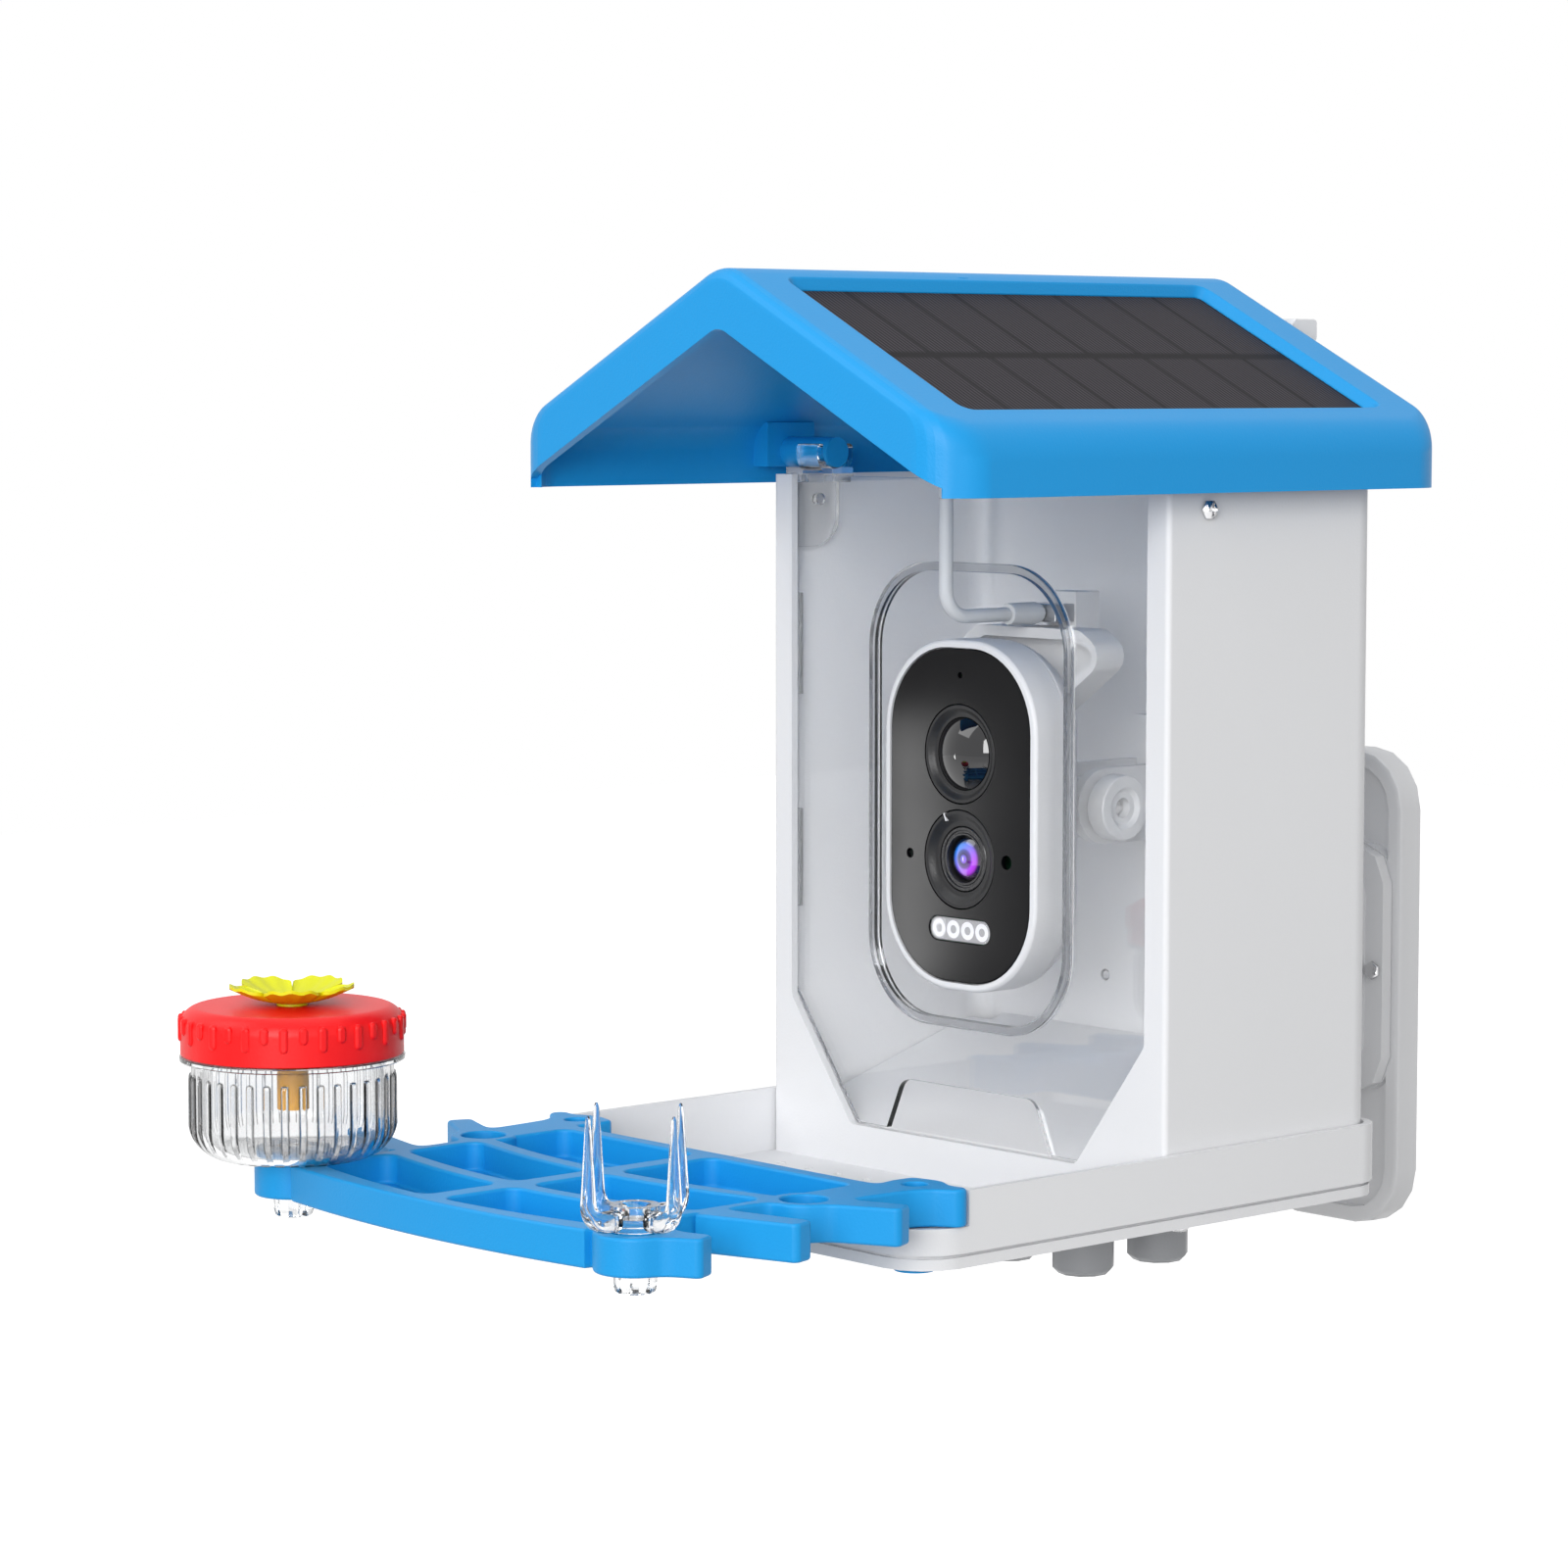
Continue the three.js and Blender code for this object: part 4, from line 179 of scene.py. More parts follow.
def plain_box(left, right, low, high, r=0.0, step=7.0):
    """A rectangle with round corners."""
    return fillet([(left, low, r), (right, low, r), (right, high, r), (left, high, r)], step)


def disc(x, y, r, count=40):
    """Points round a circle."""
    return [(x + r * math.cos(2 * math.pi * i / count), y + r * math.sin(2 * math.pi * i / count))
            for i in range(count)]


def capsule(a, b, ra, rb, count=14):
    """A bar from a to b with round ends of two radii."""
    along = math.atan2(b[1] - a[1], b[0] - a[0])
    points = []
    for (x, y), r, start in ((b, rb, along - math.pi / 2), (a, ra, along + math.pi / 2)):
        for i in range(count + 1):
            t = start + math.pi * i / count
            points.append((x + r * math.cos(t), y + r * math.sin(t)))
    return points


# Solids in millimetres
def made(points, faces, name="piece"):
    """A mesh object from points and faces, with its normals outward."""
    mesh = bpy.data.meshes.new(name)
    mesh.from_pydata([tuple(p) for p in points], [], [list(f) for f in faces])
    bm = bmesh.new()
    bm.from_mesh(mesh)
    bmesh.ops.remove_doubles(bm, verts=bm.verts, dist=1e-5)
    bmesh.ops.recalc_face_normals(bm, faces=bm.faces)
    bm.to_mesh(mesh)
    bm.free()
    obj = bpy.data.objects.new(name, mesh)
    bpy.context.scene.collection.objects.link(obj)
    return obj


AXES = {
    "z": lambda u, v, h: (u, v, h),
    "y": lambda u, v, h: (u, h, v),
    "x": lambda u, v, h: (h, u, v),
}


def prism(outline, low, high, along="z"):
    """An outline drawn out along one axis."""
    n = len(outline)
    put = AXES[along]
    points = [put(u, v, low) for u, v in outline] + [put(u, v, high) for u, v in outline]
    faces = [range(n), range(2 * n - 1, n - 1, -1)]
    faces += [(i, (i + 1) % n, n + (i + 1) % n, n + i) for i in range(n)]
    return made(points, faces)


def block(x0, x1, y0, y1, z0, z1):
    """A plain block, for cutting and joining."""
    return prism([(x0, y0), (x1, y0), (x1, y1), (x0, y1)], z0, z1)


def lathe(profile, count=48, along="z", at=(0.0, 0.0, 0.0)):
    """A turned solid from (radius, height) pairs; along y its height points to the front."""
    points, rows = [], []
    for r, z in profile:
        if r <= 1e-6:
            rows.append([len(points)] * count)
            points.append((0.0, 0.0, z))
            continue
        rows.append(list(range(len(points), len(points) + count)))
        points += [(x, y, z) for x, y in disc(0.0, 0.0, r, count)]
    faces = []
    for a, b in zip(rows, rows[1:]):
        for i in range(count):
            j = (i + 1) % count
            ring = []
            for index in (a[i], a[j], b[j], b[i]):
                if index not in ring:
                    ring.append(index)
            if len(ring) > 2:
                faces.append(ring)
    if along == "y":
        points = [(x, -z, y) for x, y, z in points]
    if along == "x":
        points = [(z, y, -x) for x, y, z in points]
    points = [(x + at[0], y + at[1], z + at[2]) for x, y, z in points]
    return made(points, faces)


def rod(r, low, high, along="z", at=(0.0, 0.0, 0.0), count=32):
    """A plain round rod."""
    return lathe([(0, low), (r, low), (r, high), (0, high)], count, along, at)


def loft(rings):
    """A solid through rings that have the same number of points."""
    n = len(rings[0])
    points = [p for ring in rings for p in ring]
    faces = [range(n), range(len(points) - 1, len(points) - n - 1, -1)]
    for k in range(len(rings) - 1):
        for i in range(n):
            j = (i + 1) % n
            faces.append((k * n + i, k * n + j, (k + 1) * n + j, (k + 1) * n + i))
    return made(points, faces)


def soft_ring(half_x, half_z, r, put, per=14):
    """A rounded rectangle as a ring for lofts, always with the same number of points."""
    r = min(r, half_x, half_z)
    points = []
    for q, (sx, sy) in enumerate([(1, 1), (-1, 1), (-1, -1), (1, -1)]):
        for i in range(per + 1):
            a = (q + i / per) * math.pi / 2
            points.append(put(sx * (half_x - r) + r * math.cos(a), sy * (half_z - r) + r * math.sin(a)))
    return points


def bake(obj):
    """Applies the modifiers of an object."""
    mesh = bpy.data.meshes.new_from_object(
        obj.evaluated_get(bpy.context.evaluated_depsgraph_get()))
    obj.modifiers.clear()
    obj.data = mesh
    return obj


def combine(base, tools, how):
    """Cuts, joins or keeps what tools share with a base, and uses them up."""
    for tool in tools:
        step = base.modifiers.new("shape", "BOOLEAN")
        step.operation = how
        step.solver = "MANIFOLD"
        step.object = tool
        bake(base)
        bpy.data.objects.remove(tool)
    return base


def cut(base, *tools):
    return combine(base, tools, "DIFFERENCE")


def add(base, *tools):
    return combine(base, tools, "UNION")


def keep(base, tool):
    return combine(base, (tool,), "INTERSECT")


def copy_of(obj):
    twin = bpy.data.objects.new(obj.name, obj.data.copy())
    bpy.context.scene.collection.objects.link(twin)
    return twin


def mirrored(obj):
    """A copy on the other side of the house's middle plane."""
    twin = copy_of(obj)
    twin.data.transform(Matrix.Scale(-1, 4, (1, 0, 0)))
    twin.data.flip_normals()
    return twin


def turned(obj, degrees, axis="Z"):
    obj.data.transform(Matrix.Rotation(math.radians(degrees), 4, axis))
    return obj


def moved(obj, x, y, z):
    obj.data.transform(Matrix.Translation((x, y, z)))
    return obj


# Finishing and placing
def shaded(obj, angle):
    """Smooth shading with sharp edges kept."""
    obj.data.shade_smooth()
    obj.data.set_sharp_from_angle(angle=math.radians(angle))
    even = obj.modifiers.new("even", "WEIGHTED_NORMAL")
    even.keep_sharp = True
    even.weight = 60
    return bake(obj)


def softened(obj, width, segments=2, angle=32.0):
    """Merges flat faces, rounds the sharp edges and evens the shading."""
    flat = math.radians(0.5)
    bm = bmesh.new()
    bm.from_mesh(obj.data)
    bmesh.ops.remove_doubles(bm, verts=bm.verts, dist=WELD)
    bmesh.ops.dissolve_limit(bm, angle_limit=flat, verts=bm.verts, edges=bm.edges)
    bm.to_mesh(obj.data)
    bm.free()
    if width > 0:
        edge = obj.modifiers.new("edge", "BEVEL")
        edge.width = width
        edge.segments = segments
        edge.limit_method = "ANGLE"
        edge.angle_limit = math.radians(angle)
        edge.use_clamp_overlap = True
        edge.miter_outer = "MITER_ARC"
        bake(obj)
    return shaded(obj, angle)


def placed(obj, name, material):
    """Takes a piece drawn in millimetres into the frame, with its name and its material."""
    moved(obj, 0, -WALL_Y, -WALL_Z)
    obj.data.transform(Matrix.Scale(MM, 4))
    obj.name = name
    obj.data.name = name
    obj.data.materials.clear()
    obj.data.materials.append(material)
    return obj


def seat(obj, name, body, material, nodes=(), width=0.4, segments=2, angle=32.0):
    """Finishes a piece and seats it on its body; a width of None leaves its edges as drawn."""
    if width is None:
        shaded(obj, angle)
    else:
        softened(obj, width, segments, angle)
    placed(obj, name, material)
    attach(obj, body)
    if nodes:
        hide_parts(*nodes)
    return obj


def dressed(node, body, material, width, segments, angle):
    """A frame piece with its edges rounded."""
    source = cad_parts[node]
    obj = bpy.data.objects.new(node + "_moulded", source.data.copy())
    bpy.context.scene.collection.objects.link(obj)
    obj.data.transform(Matrix.Scale(1 / MM, 4))
    moved(obj, 0, WALL_Y, WALL_Z)
    return seat(obj, node + "_moulded", body, material, (node,), width, segments, angle)


# Shader nodes
def nodes_of(material):
    """The empty node tree of a material with its shader."""
    material.use_nodes = True
    tree = material.node_tree
    tree.nodes.clear()
    out = tree.nodes.new("ShaderNodeOutputMaterial")
    shader = tree.nodes.new("ShaderNodeBsdfPrincipled")
    tree.links.new(shader.outputs["BSDF"], out.inputs["Surface"])
    return tree, shader


def feed(tree, value, socket):
    """Links an output to a socket, or sets the socket to a number or a colour."""
    if isinstance(value, bpy.types.NodeSocket):
        tree.links.new(value, socket)
    elif isinstance(value, tuple):
        socket.default_value = (*value, 1)
    else:
        socket.default_value = value


def sums(tree):
    """A function that adds a math node to the tree and gives its result."""
    def result(kind, *values):
        node = tree.nodes.new("ShaderNodeMath")
        node.operation = kind
        for socket, value in zip(node.inputs, values):
            feed(tree, value, socket)
        return node.outputs[0]
    return result


def object_axes(tree):
    """X, Y and Z of the point on the object."""
    where = tree.nodes.new("ShaderNodeTexCoord")
    split = tree.nodes.new("ShaderNodeSeparateXYZ")
    tree.links.new(where.outputs["Object"], split.inputs["Vector"])
    return [split.outputs[axis] for axis in ("X", "Y", "Z")]


def ramp(tree, value, stops):
    """Colours over a value, from (place, colour) pairs."""
    node = tree.nodes.new("ShaderNodeValToRGB")
    elements = node.color_ramp.elements
    for element, (place, colour) in zip(elements, (stops[0], stops[-1])):
        element.position = place
        element.color = (*colour, 1)
    for place, colour in stops[1:-1]:
        elements.new(place).color = (*colour, 1)
    tree.links.new(value, node.inputs["Fac"])
    return node.outputs["Color"]


def mixed(tree, a, b, factor, how="MIX"):
    """The colour between a and b."""
    node = tree.nodes.new("ShaderNodeMix")
    node.data_type = "RGBA"
    node.blend_type = how
    for name, value in (("A", a), ("B", b), ("Factor", factor)):
        feed(tree, value, node.inputs[name])
    return node.outputs["Result"]


def moulded_skin_group():
    """Fine grain and faint flow marks of moulded plastic."""
    tree = bpy.data.node_groups.new("moulded_skin", "ShaderNodeTree")
    face = tree.interface
    for name, kind, value in (
            ("Colour", "NodeSocketColor", (0.8, 0.8, 0.8, 1)),
            ("Shade", "NodeSocketFloat", 0.03),
            ("Grain Scale", "NodeSocketFloat", 900.0),
            ("Grain Depth", "NodeSocketFloat", 0.02),
            ("Roughness", "NodeSocketFloat", 0.4)):
        socket = face.new_socket(name=name, in_out="INPUT", socket_type=kind)
        socket.default_value = value
    for name, kind in (("Colour", "NodeSocketColor"), ("Roughness", "NodeSocketFloat"),
                       ("Normal", "NodeSocketVector")):
        face.new_socket(name=name, in_out="OUTPUT", socket_type=kind)
    new, link, result = tree.nodes.new, tree.links.new, sums(tree)
    given, output = new("NodeGroupInput"), new("NodeGroupOutput")
    where = new("ShaderNodeTexCoord")
    flow, grain = new("ShaderNodeTexNoise"), new("ShaderNodeTexNoise")
    for noise, scale, detail in ((flow, 14.0, 3.0), (grain, given.outputs["Grain Scale"], 2.0)):
        link(where.outputs["Object"], noise.inputs["Vector"])
        feed(tree, scale, noise.inputs["Scale"])
        noise.inputs["Detail"].default_value = detail
    spread = result("MULTIPLY_ADD", flow.outputs["Fac"], 2.0, -1.0)
    tint = new("ShaderNodeHueSaturation")
    link(given.outputs["Colour"], tint.inputs["Color"])
    link(result("MULTIPLY_ADD", spread, given.outputs["Shade"], 1.0), tint.inputs["Value"])
    link(tint.outputs["Color"], output.inputs["Colour"])
    link(result("MULTIPLY_ADD", spread, 0.06, given.outputs["Roughness"]), output.inputs["Roughness"])
    bump = new("ShaderNodeBump")
    bump.inputs["Distance"].default_value = 0.2 * MM
    link(given.outputs["Grain Depth"], bump.inputs["Strength"])
    link(grain.outputs["Fac"], bump.inputs["Height"])
    link(bump.outputs["Normal"], output.inputs["Normal"])
    return tree


SKIN = moulded_skin_group()
SKIN_TO_SHADER = {"Colour": "Base Color", "Roughness": "Roughness", "Normal": "Normal"}


def skinned(tree, shader, values, wanted=("Roughness", "Normal")):
    """Places the moulded skin in a material and links the outputs that it wants."""
    skin = tree.nodes.new("ShaderNodeGroup")
    skin.node_tree = SKIN
    for name, value in values.items():
        feed(tree, value, skin.inputs[name])
    for name in wanted:
        tree.links.new(skin.outputs[name], shader.inputs[SKIN_TO_SHADER[name]])


# Materials
def moulded(name, colour, roughness=0.4, shade=0.02, grain=0.25, scale=1400.0, coat=0.0, specular=0.5):
    """Opaque moulded plastic."""
    material = bpy.data.materials.new(name)
    tree, shader = nodes_of(material)
    skinned(tree, shader, {"Colour": colour, "Shade": shade, "Grain Scale": scale, "Grain Depth": grain,
                           "Roughness": roughness}, tuple(SKIN_TO_SHADER))
    shader.inputs["Coat Weight"].default_value = coat
    shader.inputs["Coat Roughness"].default_value = 0.08
    shader.inputs["Specular IOR Level"].default_value = specular
    return material


def metal(name, colour, roughness):
    """Bright metal with a fine grain."""
    material = bpy.data.materials.new(name)
    tree, shader = nodes_of(material)
    shader.inputs["Metallic"].default_value = 1.0
    shader.inputs["Base Color"].default_value = (*colour, 1)
    skinned(tree, shader, {"Grain Scale": 2500.0, "Grain Depth": 0.2, "Roughness": roughness})
    return material


def clear_moulding(name, tint, edge, ior=1.49, ripple=0.0, start=0.62):
    """Polished clear plastic that lets most light through and darkens by painted shade where it is seen edge
    on.
    """
    roughness, painted_edge_shade_place, shadow = 0.02, 0.93, 0.25
    material = bpy.data.materials.new(name)
    tree, shader = nodes_of(material)
    weight = tree.nodes.new("ShaderNodeLayerWeight")
    weight.inputs["Blend"].default_value = 0.5
    # Painted edge shade: the tint turns to the dark edge colour where the surface is seen edge on.
    tree.links.new(ramp(tree, weight.outputs["Facing"], ((start, tint), (painted_edge_shade_place, edge))),
                   shader.inputs["Base Color"])
    shader.inputs["Transmission Weight"].default_value = 1.0
    shader.inputs["IOR"].default_value = ior
    shader.inputs["Roughness"].default_value = roughness
    skinned(tree, shader, {"Grain Scale": 60.0, "Grain Depth": ripple, "Roughness": roughness}, ("Normal",))
    path = tree.nodes.new("ShaderNodeLightPath")
    tree.links.new(sums(tree)("MULTIPLY_ADD", path.outputs["Is Shadow Ray"], shadow - 1.0, 1.0),
                   shader.inputs["Alpha"])
    return material


def fluted_clear(name, tint, painted_shade_line_colour):
    """The jar's clear plastic, with a painted dark line of shade round each flute, where its steep sides are
    seen.
    """
    material = clear_moulding(name, tint, painted_shade_line_colour, ripple=0.05, start=0.45)
    tree = material.node_tree
    shader = next(node for node in tree.nodes if node.type == "BSDF_PRINCIPLED")
    result = sums(tree)

    def length(a, b):
        return result("SQRT", result("ADD", result("MULTIPLY", a, a), result("MULTIPLY", b, b)))

    flutes, half, radius = JAR["flutes"], JAR["flute_half"], JAR["r"] + JAR["shade_line_out"]
    flute_end = JAR_AT[2] + JAR["flute_top"] - half - WALL_Z
    x, y, z = object_axes(tree)
    x = result("SUBTRACT", x, JAR_AT[0] * MM)
    y = result("SUBTRACT", y, (JAR_AT[1] - WALL_Y) * MM)
    turn = result("MULTIPLY_ADD", result("ARCTAN2", y, x), flutes / (2 * math.pi), flutes)
    across = result("MULTIPLY", result("PINGPONG", turn, 0.5), 2 * math.pi * radius * MM / flutes)
    over = result("MAXIMUM", result("SUBTRACT", z, flute_end * MM), 0.0)
    # Painted shade line: dark colour along each flute's rounded edge, fading out over its width, on the
    # outside only.
    near = result("ABSOLUTE", result("SUBTRACT", length(across, over), half * MM))
    line = result("MAXIMUM", result("MULTIPLY_ADD", near, -1 / (JAR["line"] * MM), 1.0), 0.0)
    outside = result("GREATER_THAN", length(x, y), (radius - JAR["shade_line_in"]) * MM)
    plain = shader.inputs["Base Color"].links[0].from_socket
    tree.links.new(mixed(tree, plain, painted_shade_line_colour, result("MULTIPLY", line, outside)),
                   shader.inputs["Base Color"])
    return material


def solar_film():
    """Dark cells with fine collector lines along the slope, one bus bar and a seam between cells."""
    material = bpy.data.materials.new("solar_cells")
    tree, shader = nodes_of(material)
    result = sums(tree)
    x, y, _ = object_axes(tree)
    along = result("ADD", y, (WALL_Y - SOLAR["y"] + SOLAR["length"] / 2) * MM)
    down = result("MULTIPLY_ADD", x, 1 / COS, -(SOLAR["x"] / COS - SOLAR["width"] / 2) * MM)

    def lines(value, pitch, half):
        """1 on thin lines that repeat every pitch, else 0, with soft sides."""
        aside = result("PINGPONG", result("ADD", value, pitch * 40 * MM), pitch / 2 * MM)
        strength = result("MAXIMUM", 0.0, result("MULTIPLY_ADD", aside, -1 / (half * MM), 1.0))
        return result("SMOOTH_MIN", 1.0, strength, 0.1)

    fingers = lines(along, CELL["finger_pitch"], CELL["finger_half"])
    seams = lines(along, SOLAR["length"] / CELL["count"], CELL["seam_half"])
    middle = result("ABSOLUTE", result("ADD", down, -SOLAR["width"] / 2 * MM))
    bus = result("MAXIMUM", 0.0, result("MULTIPLY_ADD", middle, -1 / (CELL["bus_half"] * MM), 1.6))
    film = mixed(tree, (0.014, 0.012, 0.015), (0.085, 0.078, 0.094), result("MULTIPLY", fingers, 0.85))
    film = mixed(tree, film, (0.009, 0.008, 0.010), result("MINIMUM", 1.0, result("ADD", seams, bus)))
    tree.links.new(film, shader.inputs["Base Color"])
    shader.inputs["Roughness"].default_value = 0.6
    shader.inputs["Specular IOR Level"].default_value = 0.1
    skinned(tree, shader, {"Grain Scale": 1800.0, "Grain Depth": 0.2}, ("Normal",))
    return material


def lens_glass_painted_reflections():
    """Camera glass whose colour paints its reflections: a blue tint that turns violet towards one side, light
    and dark rings with a white highlight in the middle, and a faint glow.
    """
    material = bpy.data.materials.new("lens_glass_painted_reflections")
    tree, shader = nodes_of(material)
    result = sums(tree)
    x, _, z = object_axes(tree)
    z = result("SUBTRACT", z, (CAM["mid"] + LENS_Z - WALL_Z) * MM)
    far = result("SQRT", result("ADD", result("MULTIPLY", x, x), result("MULTIPLY", z, z)))
    radius = result("MULTIPLY", far, 1 / (GLASS["r"] * MM))
    # Painted reflection: the tint shifts from blue to violet across the glass, by place on it.
    side = result("MULTIPLY_ADD", result("SUBTRACT", x, z), 0.5 / (8.0 * MM), 0.5)
    hue = ramp(tree, side, ((0.15, (0.02, 0.22, 0.85)), (0.85, (0.45, 0.05, 0.75))))
    # Painted reflection rings, light and dark, with a painted white highlight at the middle and dark at the
    # rim.
    painted_ring_levels = ((0.16, 0.75), (0.24, 0.12), (0.42, 0.3), (0.55, 1.0), (0.72, 0.75), (0.84, 0.06))
    rings = ramp(tree, radius, ((0.0, (0.85, 0.9, 1.0)), *((place, (grey,) * 3) for place, grey in painted_ring_levels),
                                (1.0, (0.0, 0.0, 0.0))))
    painted_lens_reflections = mixed(tree, hue, rings, 1.0, "MULTIPLY")
    tree.links.new(painted_lens_reflections, shader.inputs["Base Color"])
    # Painted glow: the glass gives off its own painted colour, though it is no lamp.
    tree.links.new(painted_lens_reflections, shader.inputs["Emission Color"])
    shader.inputs["Emission Strength"].default_value = 0.5
    shader.inputs["Roughness"].default_value = 0.08
    shader.inputs["Coat Weight"].default_value = 1.0
    shader.inputs["Coat Roughness"].default_value = 0.02
    return material


WHITE = moulded("white_plastic", (0.80, 0.805, 0.82), 0.42)
BLUE = moulded("blue_plastic", (0.008, 0.31, 0.715), 0.46, grain=0.3, specular=0.3)
RED = moulded("red_plastic", (0.90, 0.004, 0.006), 0.42, specular=0.35)
YELLOW = moulded("yellow_plastic", (0.74, 0.75, 0.004), 0.42, specular=0.35)
REFLECTOR = moulded("lamp_reflector", (0.36, 0.36, 0.37), 0.3, grain=0.6, scale=2600.0)
AMBER = moulded("amber_plastic", (0.90, 0.42, 0.01), 0.35)
GREY = moulded("grey_plastic", (0.42, 0.43, 0.45), 0.45)
PALE = moulded("pale_rubber", (0.70, 0.72, 0.74), 0.55)
FACE = moulded("glossy_black", (0.003, 0.003, 0.004), 0.08, shade=0.0, grain=0.0, specular=0.12)
RINGS = moulded("satin_black", (0.020, 0.020, 0.021), 0.34, specular=0.3)
DOME = moulded("dome_black", (0.004, 0.004, 0.006), 0.03, shade=0.0, grain=0.0, specular=0.8)
BARREL = moulded("barrel_black", (0.012, 0.012, 0.014), 0.25)
BOARD = moulded("board_green", (0.02, 0.10, 0.05), 0.35, coat=0.3)
STEEL = metal("bright_steel", (0.62, 0.62, 0.63), 0.22)
# The second colour given to each clear plastic is painted shade, which it turns to where it is seen edge on.
PANE_CLEAR = clear_moulding("clear_window", (0.985, 0.99, 0.995), (0.12, 0.12, 0.13), 1.45, 0.05, 0.72)
# The collar's grey tint is painted shade too, for the dark band that its ring shows.
COLLAR_CLEAR = clear_moulding("clear_collar", (0.66, 0.67, 0.69), (0.02, 0.02, 0.022), 1.45, start=0.38)
LIGHT_CLEAR = clear_moulding("clear_light_window", (0.97, 0.97, 0.98), (0.2, 0.2, 0.21), 1.1)
CLAW_CLEAR = clear_moulding("clear_claw", (0.96, 0.965, 0.97), (0.02, 0.03, 0.04), start=0.3)
JAR_CLEAR = fluted_clear("clear_jar", (0.90, 0.905, 0.91), (0.012, 0.012, 0.012))
CELLS = solar_film()
LENS = lens_glass_painted_reflections()


# Roof
def gable_ring(inset, half, bottom, y, per=9):
    """A section across the gabled roof, drawn in by the inset."""
    apex = APEX - inset / COS
    ridge_r, eave_r, side = ROOF["ridge_r"] - inset, ROOF["eave_r"] - inset, half - inset
    points = [(side, y, bottom)]
    eave_x = side - eave_r
    eave_z = apex - TAN * eave_x - eave_r / COS
    for i in range(per + 1):
        a = (math.pi / 2 - SLOPE) * i / per
        points.append((eave_x + eave_r * math.cos(a), y, eave_z + eave_r * math.sin(a)))
    ridge_z = apex - ridge_r / COS
    for i in range(per):
        a = SLOPE * (1 - i / per)
        points.append((ridge_r * math.sin(a), y, ridge_z + ridge_r * math.cos(a)))
    left = [(-x, y, z) for x, y, z in reversed(points)]
    return points + [(0.0, y, ridge_z + ridge_r)] + left


def gable_loft(inset, bottom):
    """The roof's whole form, drawn in by the inset, with round edges and round corners in plan."""
    front, rear = ROOF["front"] + inset, ROOF["rear"] - inset
    edge_r = max(ROOF["edge_r"] - inset, inset)
    corner_r = ROOF["corner_r"] - inset
    depths = {round(edge_r * (1 - math.cos(a)), 4) for a in quarter(6)}
    depths |= {round(corner_r * (1 - math.cos(a)), 4) for a in quarter(9)}
    depths = sorted(d for d in depths if d > 3 * HAIR or d == 0)

    def section(depth, y):
        edge = edge_r - math.sqrt(max(edge_r ** 2 - (edge_r - depth) ** 2, 0)) if depth < edge_r else 0.0
        plan = corner_r - math.sqrt(max(corner_r ** 2 - (corner_r - min(depth, corner_r)) ** 2, 0))
        return gable_ring(inset + edge, ROOF["half"] - plan + edge, bottom, y)

    rings = [section(d, front + d) for d in depths]
    rings += [section(d, rear - d) for d in reversed(depths)]
    return loft(rings)


def on_slope(obj):
    """Takes something drawn flat about the panel's middle on to the right slope."""
    obj.data.transform(Matrix.Rotation(SLOPE, 4, "Y"))
    return moved(obj, SOLAR["x"], SOLAR["y"], APEX - TAN * SOLAR["x"])


def panel_outline(growth):
    """The panel's outline, grown on every side."""
    w, l = SOLAR["width"] / 2 + growth, SOLAR["length"] / 2 + growth
    return plain_box(-w, w, -l, l, SOLAR["corner"] + growth)


def panel_pocket():
    """What the pocket for the panel takes away, with its rounded rim."""
    steps = [(-SOLAR["recess"] - SOLAR["thick"] - GAP, GAP), (-SOLAR["recess"], GAP)]
    steps += [(-depth, growth) for depth, growth in SOLAR_RIM]
    steps.append((OVER, SOLAR_RIM[-1][1]))
    return on_slope(loft([soft_ring(SOLAR["width"] / 2 + growth, SOLAR["length"] / 2 + growth,
                                    SOLAR["corner"] + growth, lambda x, y, z=z: (x, y, z), 8)
                          for z, growth in steps]))


def hinge_lug():
    """The right lug with its pin, kept inside the roof's wall."""
    low = HINGE["z"] - HINGE["pin_r"]
    lug = block(HINGE["lug_inner"], ROOF["half"], HINGE["y"] - HINGE["lug_half"],
                HINGE["y"] + HINGE["lug_half"], low, low + HINGE["lug"])
    keep(lug, gable_loft(ROOF["wall"] / 2, ROOF["bottom"]))
    return add(lug, rod(HINGE["pin_r"], HINGE["pin_inner"], HINGE["lug_inner"] + OVER, "x",
                        (0, HINGE["y"], HINGE["z"])))


def build_roof():
    """The shell with its open front, the panel's pocket, the hinge lugs and the lead's chimney."""
    wall, bottom = ROOF["wall"], ROOF["bottom"]
    shell = gable_loft(0, bottom)
    mouth_top = ROOF["ridge"] - ROOF["fascia"] + ROOF["mouth_r"] * (1 / COS - 1)
    side = ROOF["half"] - ROOF["mouth_inset"]
    mouth = fillet([(-side, bottom - OVER, 0), (side, bottom - OVER, 0), (side, mouth_top - TAN * side, 0),
                    (0, mouth_top, ROOF["mouth_r"]), (-side, mouth_top - TAN * side, 0)])
    mouth = prism(mouth, ROOF["front"] - OVER, ROOF["front"] + wall + OVER, "y")
    cut(shell, gable_loft(wall, bottom - OVER), mouth)
    sunk = SOLAR["recess"] + SOLAR["thick"] + GAP
    add(shell, on_slope(prism(panel_outline(wall), -wall - sunk, -wall / 2)))
    cut(shell, panel_pocket())
    lug = hinge_lug()
    add(shell, mirrored(lug), lug)
    at = (CABLE["x"], CABLE["y"], 0)
    add(shell, rod(ROOF["chimney_r"], ROOF["chimney_low"], ROOF["ridge"] - wall / 2, at=at))
    cut(shell, rod(ROOF["wire_r"], ROOF["wire_low"], ROOF["wire_high"], at=at))
    seat(shell, "roof", "roof", BLUE, ("roof_shell",), 0.7, 3)


